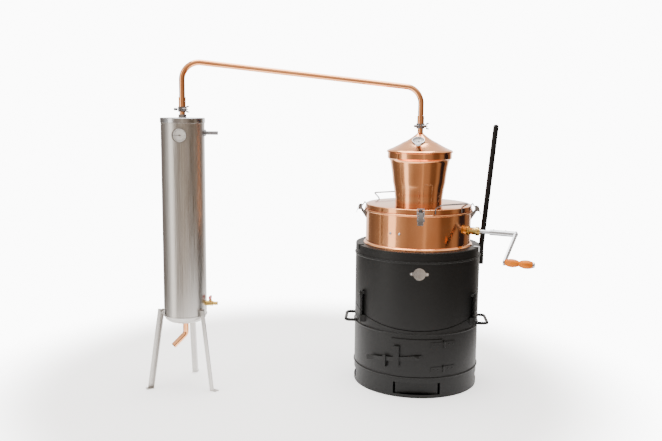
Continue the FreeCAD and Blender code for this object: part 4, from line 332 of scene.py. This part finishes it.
# %% The tests, and the nodes that aren't parted
NUT_HEIGHT = 12 * MM
NUT_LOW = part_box("condenser_cap")[1][2]
NUT_MARGIN = 0.1 * MM


def is_right_front(point):
    """The hold-down clip at the right front is bare steel, and the others are painted."""
    return point.x > 0 and point.y < 0


def is_neck_nut(point):
    """The nut's faces end at its own height, and the neck's long faces run past it."""
    return NUT_LOW - NUT_MARGIN < point.z < NUT_LOW + NUT_HEIGHT + NUT_MARGIN


parted_nodes = ("hat_thermometer", "tank_thermometer", "hold_down_clips", "condenser_neck")
whole_nodes = [name for name in sorted(nodes) if name not in parted_nodes]
for name in whole_nodes:
    smooth_copy(name)
print("smooth copies:", len(whole_nodes))
part_node("hold_down_clips", is_right_front, bright_steel, finishes["black_steel"])
part_node("condenser_neck", is_neck_nut, bright_steel, finishes["copper"])

# %% [markdown]
# ## The two thermometers
#
# Each thermometer is one CAD node: a case, a dial and a glass. Only the glass is
# clear: it is the slab that lies furthest out. Everything on a dial is placed in
# the dial's own frame: its centre, the way it faces, its right and its up. One
# matrix holds that frame, so the same ticks and numbers fit both dials.

# %% Frames for the dials
def dial_frame(joint, reach):
    """A matrix whose origin is on a dial, with X to its right, Y up and Z outwards."""
    out = Vector(joints[joint]["axis"]).normalized()
    right = Vector((0, 0, 1)).cross(out).normalized()
    up = out.cross(right)
    turn = Matrix((right, up, out)).transposed().to_4x4()
    return Matrix.Translation(Vector(joints[joint]["pos_m"]) + out * reach) @ turn


FACE = 18.25 * MM
tank_low, tank_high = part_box("condenser_tank")
TANK_RADIUS = (tank_high[0] - tank_low[0]) / 2
dials = {
    "hat": {"node": "hat_thermometer", "joint": "hat_needle_turn",
            "foot": 0.0, "radius": 24 * MM},
    "tank": {"node": "tank_thermometer", "joint": "tank_needle_turn",
             "foot": TANK_RADIUS, "radius": 27.5 * MM},
}
for name, dial in dials.items():
    dial["place"] = dial_frame(dial["joint"], dial["foot"] + FACE)
    print(name, "dial at:", [round(c, 3) for c in dial["place"].translation])

# %% The glass and the rest
GLASS = (5.4 * MM, 8.0 * MM)
GLASS_INSET = 1.4 * MM


def is_glass(dial):
    """A test for the glass: a slab in front of the dial, within the bezel."""
    inward = dial["place"].inverted()

    def test(point):
        near = inward @ point
        return GLASS[0] < near.z < GLASS[1] and near.xy.length < dial["radius"] - GLASS_INSET

    return test


for dial in dials.values():
    part_node(dial["node"], is_glass(dial), dial_glass, bright_steel)

# %% [markdown]
# ## Dial faces
#
# A dial is a white disc with ticks and plain numbers. The ticks repeat along an
# arc, so a Geometry Nodes tree sets them: it puts one tick on each of a row of
# points and turns it about the dial's middle. The row's offset is zero, so that
# all its points lie on that middle. The same tree makes long and short ticks,
# because its count and sizes are inputs.

# %% A tree that sets ticks on an arc
SWEEP = math.radians(270)
FIRST = math.radians(225)
INK = 0.1 * MM


def named_inputs(tree, values, finish):
    """Gives a tree its named sizes, with a value for each, and the input for its finish."""
    for label, value in values.items():
        kind = "NodeSocketInt" if isinstance(value, int) else "NodeSocketFloat"
        socket = tree.interface.new_socket(label, in_out="INPUT", socket_type=kind)
        socket.default_value = value
    tree.interface.new_socket(finish, in_out="INPUT", socket_type="NodeSocketMaterial")
    tree.interface.new_socket("Geometry", in_out="OUTPUT", socket_type="NodeSocketGeometry")


def tick_tree():
    """All points of a row stand on the dial's middle, and each one's tick is turned further."""
    tree = bpy.data.node_groups.new("ticks_on_an_arc", "GeometryNodeTree")
    named_inputs(tree, {"Count": 13, "Radius": 20 * MM, "Length": 2 * MM, "Width": 0.3 * MM}, "Ink")
    add = tree.nodes.new
    link = tree.links.new
    given = add("NodeGroupInput")
    result = add("NodeGroupOutput")
    row = add("GeometryNodeMeshLine")
    row.inputs["Offset"].default_value = (0, 0, 0)
    number = add("GeometryNodeInputIndex")
    less = add("ShaderNodeMath")
    less.operation = "SUBTRACT"
    less.inputs[1].default_value = 1
    share = add("ShaderNodeMath")
    share.operation = "DIVIDE"
    angle = add("ShaderNodeMath")
    angle.operation = "MULTIPLY_ADD"
    angle.inputs[1].default_value = -SWEEP
    angle.inputs[2].default_value = FIRST
    turn = add("ShaderNodeCombineXYZ")
    tick = add("GeometryNodeMeshCube")
    size = add("ShaderNodeCombineXYZ")
    size.inputs["Z"].default_value = INK
    shift = add("ShaderNodeCombineXYZ")
    move = add("GeometryNodeTransform")
    spread = add("GeometryNodeInstanceOnPoints")
    realize = add("GeometryNodeRealizeInstances")
    paint = add("GeometryNodeSetMaterial")
    link(given.outputs["Count"], row.inputs["Count"])
    link(given.outputs["Count"], less.inputs[0])
    link(number.outputs["Index"], share.inputs[0])
    link(less.outputs["Value"], share.inputs[1])
    link(share.outputs["Value"], angle.inputs[0])
    link(angle.outputs["Value"], turn.inputs["Z"])
    link(given.outputs["Length"], size.inputs["X"])
    link(given.outputs["Width"], size.inputs["Y"])
    link(size.outputs["Vector"], tick.inputs["Size"])
    link(given.outputs["Radius"], shift.inputs["X"])
    link(tick.outputs["Mesh"], move.inputs["Geometry"])
    link(shift.outputs["Vector"], move.inputs["Translation"])
    link(row.outputs["Mesh"], spread.inputs["Points"])
    link(move.outputs["Geometry"], spread.inputs["Instance"])
    link(turn.outputs["Vector"], spread.inputs["Rotation"])
    link(spread.outputs["Instances"], realize.inputs["Geometry"])
    link(realize.outputs["Geometry"], paint.inputs["Geometry"])
    link(given.outputs["Ink"], paint.inputs["Material"])
    link(paint.outputs["Geometry"], result.inputs["Geometry"])
    return tree


def plain_mesh(holder):
    """The mesh that an object evaluates to. The object itself is removed."""
    bpy.context.view_layer.update()
    graph = bpy.context.evaluated_depsgraph_get()
    mesh = bpy.data.meshes.new_from_object(holder.evaluated_get(graph))
    bpy.data.objects.remove(holder)
    return mesh


def run_tree(carrier_mesh, tree, **values):
    """Evaluates a tree on a mesh and returns the result as a plain mesh."""
    carrier = new_piece("carrier", carrier_mesh)
    modifier = carrier.modifiers.new("tree", "NODES")
    modifier.node_group = tree
    for socket in tree.interface.items_tree:
        if socket.in_out == "INPUT" and socket.name in values:
            modifier[socket.identifier] = values[socket.name]
    return plain_mesh(carrier)


# %% The faces, ticks and numbers
def joined(name, meshes):
    """One mesh from several, each with a matrix that places it."""
    work = bmesh.new()
    for mesh, place in meshes:
        mesh.transform(place)
        work.from_mesh(mesh)
    bmesh.ops.recalc_face_normals(work, faces=work.faces)
    whole = bpy.data.meshes.new(name)
    work.to_mesh(whole)
    work.free()
    return whole


DISC_SIDES = 96


def disc_mesh(radius, thickness):
    """A round plate about its own middle."""
    work = bmesh.new()
    bmesh.ops.create_cone(work, cap_ends=True, segments=DISC_SIDES, radius1=radius,
                          radius2=radius, depth=thickness)
    mesh = bpy.data.meshes.new("disc")
    work.to_mesh(mesh)
    work.free()
    return mesh


def number_mesh(text, height):
    """A number about its own middle, as thick as the ticks."""
    curve = bpy.data.curves.new("number", "FONT")
    curve.body = text
    curve.size = height
    curve.extrude = INK / 2
    curve.align_x = "CENTER"
    curve.align_y = "CENTER"
    return plain_mesh(new_piece("number", curve))


# %% Put them on both dials
BEZEL = 2.6 * MM
LIFT = 0.12 * MM
LONG = {"Count": 7, "Length": 2.4 * MM, "Width": 0.5 * MM}
SHORT = {"Count": 31, "Length": 1.4 * MM, "Width": 0.2 * MM}
TICK_GAP = 0.5 * MM
NUMBER_INSET = 6.4 * MM
NUMBER_HEIGHT = 3.2 * MM
DEGREES_PER_NUMBER = 20
black_ink = finishes["black_paint"]
ticks = tick_tree()
for name, dial in dials.items():
    body = body_of_node[dial["node"]]
    rim = dial["radius"] - BEZEL
    disc = joined("face", [(disc_mesh(rim, INK), dial["place"])])
    own(new_piece(name + "_dial_face", disc), body, dial_white)
    lifted = dial["place"] @ Matrix.Translation((0, 0, LIFT))
    marks = []
    for kind in (LONG, SHORT):
        middle = rim - TICK_GAP - kind["Length"] / 2
        row = run_tree(bpy.data.meshes.new("row"), ticks, Radius=middle, Ink=black_ink, **kind)
        marks.append((row, lifted))
    for step in range(LONG["Count"]):
        angle = FIRST - SWEEP * step / (LONG["Count"] - 1)
        reach = rim - NUMBER_INSET
        spot = Matrix.Translation((reach * math.cos(angle), reach * math.sin(angle), 0))
        number = number_mesh(str(step * DEGREES_PER_NUMBER), NUMBER_HEIGHT)
        marks.append((number, lifted @ spot))
    inked = new_piece(name + "_dial_marks", joined("marks", marks))
    own(inked, body, black_ink)
    print(name, "dial:", len(inked.data.polygons), "faces of ink")

# %% [markdown]
# ## Rivets and weld beads
#
# The hinge straps are riveted to the door and the shell, and the condenser's
# cap, base and brackets are welded to its tank. Rivets and the drops of a weld
# bead are the same idea: one small dome, set again and again on given points,
# each turned to stand on its surface. The points carry their own direction in an
# attribute, and the tree reads it. A dome's size is its radius and its rise, a
# share of that radius. The tank's seam stops a few drops short of its top and
# its foot.

# %% A tree that sets a dome on every point
def dome_tree():
    """A squashed ball on each point, which stands along the point's own direction."""
    tree = bpy.data.node_groups.new("domes_on_points", "GeometryNodeTree")
    tree.interface.new_socket("Geometry", in_out="INPUT", socket_type="NodeSocketGeometry")
    named_inputs(tree, {"Radius": 3 * MM, "Rise": 0.5}, "Finish")
    add = tree.nodes.new
    link = tree.links.new
    given = add("NodeGroupInput")
    result = add("NodeGroupOutput")
    ball = add("GeometryNodeMeshUVSphere")
    ball.inputs["Segments"].default_value = 10
    ball.inputs["Rings"].default_value = 6
    flat = add("ShaderNodeCombineXYZ")
    flat.inputs["X"].default_value = 1
    flat.inputs["Y"].default_value = 1
    squash = add("GeometryNodeTransform")
    aim = add("GeometryNodeInputNamedAttribute")
    aim.data_type = "FLOAT_VECTOR"
    aim.inputs["Name"].default_value = "aim"
    turn = add("FunctionNodeAlignRotationToVector")
    turn.axis = "Z"
    spread = add("GeometryNodeInstanceOnPoints")
    realize = add("GeometryNodeRealizeInstances")
    smooth = add("GeometryNodeSetShadeSmooth")
    paint = add("GeometryNodeSetMaterial")
    link(given.outputs["Radius"], ball.inputs["Radius"])
    link(given.outputs["Rise"], flat.inputs["Z"])
    link(ball.outputs["Mesh"], squash.inputs["Geometry"])
    link(flat.outputs["Vector"], squash.inputs["Scale"])
    link(given.outputs["Geometry"], spread.inputs["Points"])
    link(squash.outputs["Geometry"], spread.inputs["Instance"])
    link(aim.outputs["Attribute"], turn.inputs["Vector"])
    link(turn.outputs["Rotation"], spread.inputs["Rotation"])
    link(spread.outputs["Instances"], realize.inputs["Geometry"])
    link(realize.outputs["Geometry"], smooth.inputs["Geometry"])
    link(smooth.outputs["Geometry"], paint.inputs["Geometry"])
    link(given.outputs["Finish"], paint.inputs["Material"])
    link(paint.outputs["Geometry"], result.inputs["Geometry"])
    return tree


domes = dome_tree()


def dome_piece(name, spots, radius, rise, finish, body, slot):
    """Domes on a list of (place, direction), as one plain mesh."""
    mesh = bpy.data.meshes.new(name + "_points")
    mesh.from_pydata([tuple(place) for place, _ in spots], [], [])
    aims = mesh.attributes.new("aim", "FLOAT_VECTOR", "POINT")
    for index, (_, direction) in enumerate(spots):
        aims.data[index].vector = tuple(direction)
    piece = new_piece(name, run_tree(mesh, domes, Radius=radius, Rise=rise, Finish=finish))
    own(piece, body)
    print(name + ":", len(spots), "domes")


# %% Where the rivets and welds are
def round_stove(azimuth, reach, height, middle=(0, 0)):
    """A place and its outward direction, from an azimuth seen from the front towards +X."""
    angle = math.radians(azimuth)
    outward = Vector((math.sin(angle), -math.cos(angle), 0))
    return Vector((middle[0], middle[1], height)) + outward * reach, outward


hinge_low, hinge_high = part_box("door_hinges")
HINGE_HALF = 11 * MM
PIN_HEAD = 2 * MM
hinge_heights = (hinge_low[2] + HINGE_HALF, hinge_high[2] - PIN_HEAD - HINGE_HALF)
RIVET = (3.2 * MM, 0.5)
RIVET_ROWS = {
    "door_rivets": {"body": "fire_door", "reach": 251 * MM, "azimuths": (14, 18)},
    "shell_rivets": {"body": "stand", "reach": 247 * MM, "azimuths": (28.5, 33)},
}
for name, row in RIVET_ROWS.items():
    spots = [round_stove(azimuth, row["reach"], height)
             for height in hinge_heights for azimuth in row["azimuths"]]
    dome_piece(name, spots, *RIVET, finishes["black_steel"], row["body"], "black_steel")

# %% The cap's weld and the tank's seam
tank_middle = ((tank_low[0] + tank_high[0]) / 2, (tank_low[1] + tank_high[1]) / 2)
WELD_DROPS = 260
WELD_DROP = (1.3 * MM, 0.6)
WELD_HEIGHT = tank_high[2] - 0.6 * MM
weld_spots = [round_stove(360 * drop / WELD_DROPS, TANK_RADIUS, WELD_HEIGHT, tank_middle)
              for drop in range(WELD_DROPS)]
dome_piece("cap_weld", weld_spots, *WELD_DROP, finishes["stainless"], "stand", "stainless")
SEAM_AZIMUTH = 155
SEAM_DROPS = 420
SEAM_DROP = (1.2 * MM, 0.35)
BARE_DROPS = 4
seam_step = (tank_high[2] - tank_low[2]) / SEAM_DROPS
seam_spots = [round_stove(SEAM_AZIMUTH, TANK_RADIUS, tank_low[2] + seam_step * drop, tank_middle)
              for drop in range(BARE_DROPS, SEAM_DROPS - BARE_DROPS)]
dome_piece("tank_seam", seam_spots, *SEAM_DROP, finishes["stainless"], "stand", "stainless")

# %% [markdown]
# ## The studio
#
# Polished copper shows the room, not its own colour. So the room is painted as
# a photographer would build it: a pale backdrop behind, a pale ceiling, and
# round the front a ring of walls, lit and dim by turns. A round wall of the
# still mirrors that ring as upright bands. Each wall has its azimuth in degrees,
# from the front (0) towards the right, and its colour.
#
# What the camera sees behind the object is a plain white instead, from every
# side. The world tells the two apart by the kind of ray. The floor gives off a
# little light of its own and fades out with distance, so that no horizon shows
# and the pot doesn't mirror an endless bright floor.

# %% The room
def bright_where(tree, value, low, high):
    """Goes smoothly from 0 to 1 while the value goes from low to high."""
    step = tree.nodes.new("ShaderNodeMapRange")
    step.interpolation_type = "SMOOTHSTEP"
    step.inputs["From Min"].default_value = low
    step.inputs["From Max"].default_value = high
    tree.links.new(value, step.inputs["Value"])
    return step.outputs["Result"]


SEEN_BACKDROP = (11, 11, 11, 1)
BACKDROP = (2.3, 2.2, 2.1, 1)
BACKDROP_EDGE = (0.74, 0.86)
CEILING = (1.5, 1.4, 1.3, 1)
CEILING_EDGE = (0.18, 0.60)
ROOM = [
    (-180, (1.00, 1.00, 1.00)),
    (-140, (0.30, 0.27, 0.24)),
    (-122, (0.24, 0.20, 0.17)),
    (-100, (0.34, 0.30, 0.27)),
    (-82, (0.60, 0.56, 0.52)),
    (-64, (1.00, 0.96, 0.90)),
    (-50, (1.00, 0.95, 0.88)),
    (-38, (0.66, 0.57, 0.48)),
    (-24, (0.46, 0.37, 0.30)),
    (-8, (0.52, 0.42, 0.34)),
    (8, (0.66, 0.52, 0.40)),
    (13, (1.00, 0.84, 0.66)),
    (18, (0.60, 0.47, 0.36)),
    (40, (0.48, 0.37, 0.29)),
    (50, (0.22, 0.16, 0.11)),
    (70, (0.20, 0.14, 0.09)),
    (80, (0.44, 0.34, 0.25)),
    (90, (0.40, 0.31, 0.23)),
    (99, (0.03, 0.03, 0.05)),
    (117, (0.03, 0.03, 0.05)),
    (123, (0.30, 0.22, 0.15)),
    (140, (0.30, 0.24, 0.20)),
    (180, (1.00, 1.00, 1.00))]
print("walls:", len(ROOM))

# %% The world
world = bpy.data.worlds.new("studio")
bpy.context.scene.world = world
world.use_nodes = True
tree = world.node_tree
direction = tree.nodes.new("ShaderNodeTexCoord")
parts = tree.nodes.new("ShaderNodeSeparateXYZ")
to_front = tree.nodes.new("ShaderNodeMath")
to_front.operation = "MULTIPLY"
to_front.inputs[1].default_value = -1
azimuth = tree.nodes.new("ShaderNodeMath")
azimuth.operation = "ARCTAN2"
share = tree.nodes.new("ShaderNodeMapRange")
share.inputs["From Min"].default_value = -math.pi
share.inputs["From Max"].default_value = math.pi
walls = tree.nodes.new("ShaderNodeValToRGB")
stops = walls.color_ramp.elements
while len(stops) < len(ROOM):
    stops.new(1)
for stop, (degrees, colour) in zip(stops, ROOM):
    stop.position = (degrees + 180) / 360
    stop.color = (*colour, 1)
backdrop = tree.nodes.new("ShaderNodeMix")
ceiling = tree.nodes.new("ShaderNodeMix")
for layer, colour in ((backdrop, BACKDROP), (ceiling, CEILING)):
    layer.data_type = "RGBA"
    layer.inputs["B"].default_value = colour
tree.links.new(direction.outputs["Generated"], parts.inputs["Vector"])
tree.links.new(parts.outputs["Y"], to_front.inputs[0])
tree.links.new(parts.outputs["X"], azimuth.inputs[0])
tree.links.new(to_front.outputs["Value"], azimuth.inputs[1])
tree.links.new(azimuth.outputs["Value"], share.inputs["Value"])
tree.links.new(share.outputs["Result"], walls.inputs["Fac"])
tree.links.new(walls.outputs["Color"], backdrop.inputs["A"])
behind = bright_where(tree, parts.outputs["Y"], *BACKDROP_EDGE)
above = bright_where(tree, parts.outputs["Z"], *CEILING_EDGE)
tree.links.new(behind, backdrop.inputs["Factor"])
tree.links.new(backdrop.outputs["Result"], ceiling.inputs["A"])
tree.links.new(above, ceiling.inputs["Factor"])
plain = tree.nodes.new("ShaderNodeMix")
plain.data_type = "RGBA"
plain.inputs["B"].default_value = SEEN_BACKDROP
ray = tree.nodes.new("ShaderNodeLightPath")
tree.links.new(ray.outputs["Is Camera Ray"], plain.inputs["Factor"])
tree.links.new(ceiling.outputs["Result"], plain.inputs["A"])
tree.links.new(plain.outputs["Result"], tree.nodes["Background"].inputs["Color"])
tree.nodes["Background"].inputs["Strength"].default_value = 1

# %% The floor
FLOOR_HALF = 4
FLOOR_COLOUR = (0.93, 0.93, 0.93)
FLOOR_GLOW = 1.2
FADE_FROM = 0.9
FADE_TO = 1.5
OBJECT_MIDDLE = (-0.45, -0.10)
corners = [(-FLOOR_HALF, -FLOOR_HALF, 0), (FLOOR_HALF, -FLOOR_HALF, 0),
           (FLOOR_HALF, FLOOR_HALF, 0), (-FLOOR_HALF, FLOOR_HALF, 0)]
floor_mesh = bpy.data.meshes.new("floor")
floor_mesh.from_pydata(corners, [], [(0, 1, 2, 3)])
floor = new_piece("floor", floor_mesh)
paint, tree, shader, _ = start_finish("floor_paint", FLOOR_COLOUR, 0.0, 0.85)
shader.inputs["Emission Color"].default_value = (1, 1, 1, 1)
shader.inputs["Emission Strength"].default_value = FLOOR_GLOW
spot = tree.nodes.new("ShaderNodeVectorMath")
spot.operation = "DISTANCE"
spot.inputs[1].default_value = (*OBJECT_MIDDLE, 0)
place = [node for node in tree.nodes if node.type == "TEX_COORD"][0]
tree.links.new(place.outputs["Object"], spot.inputs[0])
shown = bright_where(tree, spot.outputs["Value"], FADE_TO, FADE_FROM)
tree.links.new(shown, shader.inputs["Alpha"])
floor_mesh.materials.append(paint)
print("floor fades between", FADE_FROM, "and", FADE_TO, "m")


# %% Lights
def soft_light(name, wide, tall, power, place, target, colour=(1, 1, 1)):
    """A rectangular soft light that faces a target."""
    light = bpy.data.lights.new(name, "AREA")
    light.shape = "RECTANGLE"
    light.size = wide
    light.size_y = tall
    light.energy = power
    light.color = colour
    lamp = new_piece(name, light)
    lamp.location = place
    lamp.rotation_euler = (Vector(target) - Vector(place)).to_track_quat("-Z", "Y").to_euler()


soft_light("left_softbox", wide=0.9, tall=3.8, power=30, place=(-2.60, -1.60, 0.60),
           target=(-0.3, -0.1, 0.6), colour=(1.0, 0.95, 0.88))
soft_light("overhead", wide=3.0, tall=2.4, power=200, place=(-0.45, 0.3, 3.6),
           target=(-0.45, -0.1, 0.0))
print("lights:", len(bpy.data.lights))

# %% [markdown]
# ## The camera
#
# The camera stands about three metres in front of the still and a little over
# one metre up. It looks slightly down and slightly to the left, so that the
# still is seen as in the photograph.

# %% The camera
CAMERA_PLACE = (-0.128, -3.117, 1.080)
LENS = 42.96
SENSOR = 36
YAW = math.radians(4)
PITCH = math.radians(8.08)
ROLL = math.radians(0.57)
camera_data = bpy.data.cameras.new("camera")
camera_data.lens = LENS
camera_data.sensor_width = SENSOR
camera = new_piece("camera", camera_data)
bpy.context.scene.camera = camera
camera.location = CAMERA_PLACE
turned_left = Matrix.Rotation(YAW, 3, "Z")
tipped_down = Matrix.Rotation(math.pi / 2 - PITCH, 3, "X")
rolled = Matrix.Rotation(ROLL, 3, "Z")
camera.rotation_euler = (turned_left @ tipped_down @ rolled).to_euler()
print("camera:", [round(c, 3) for c in camera.location])
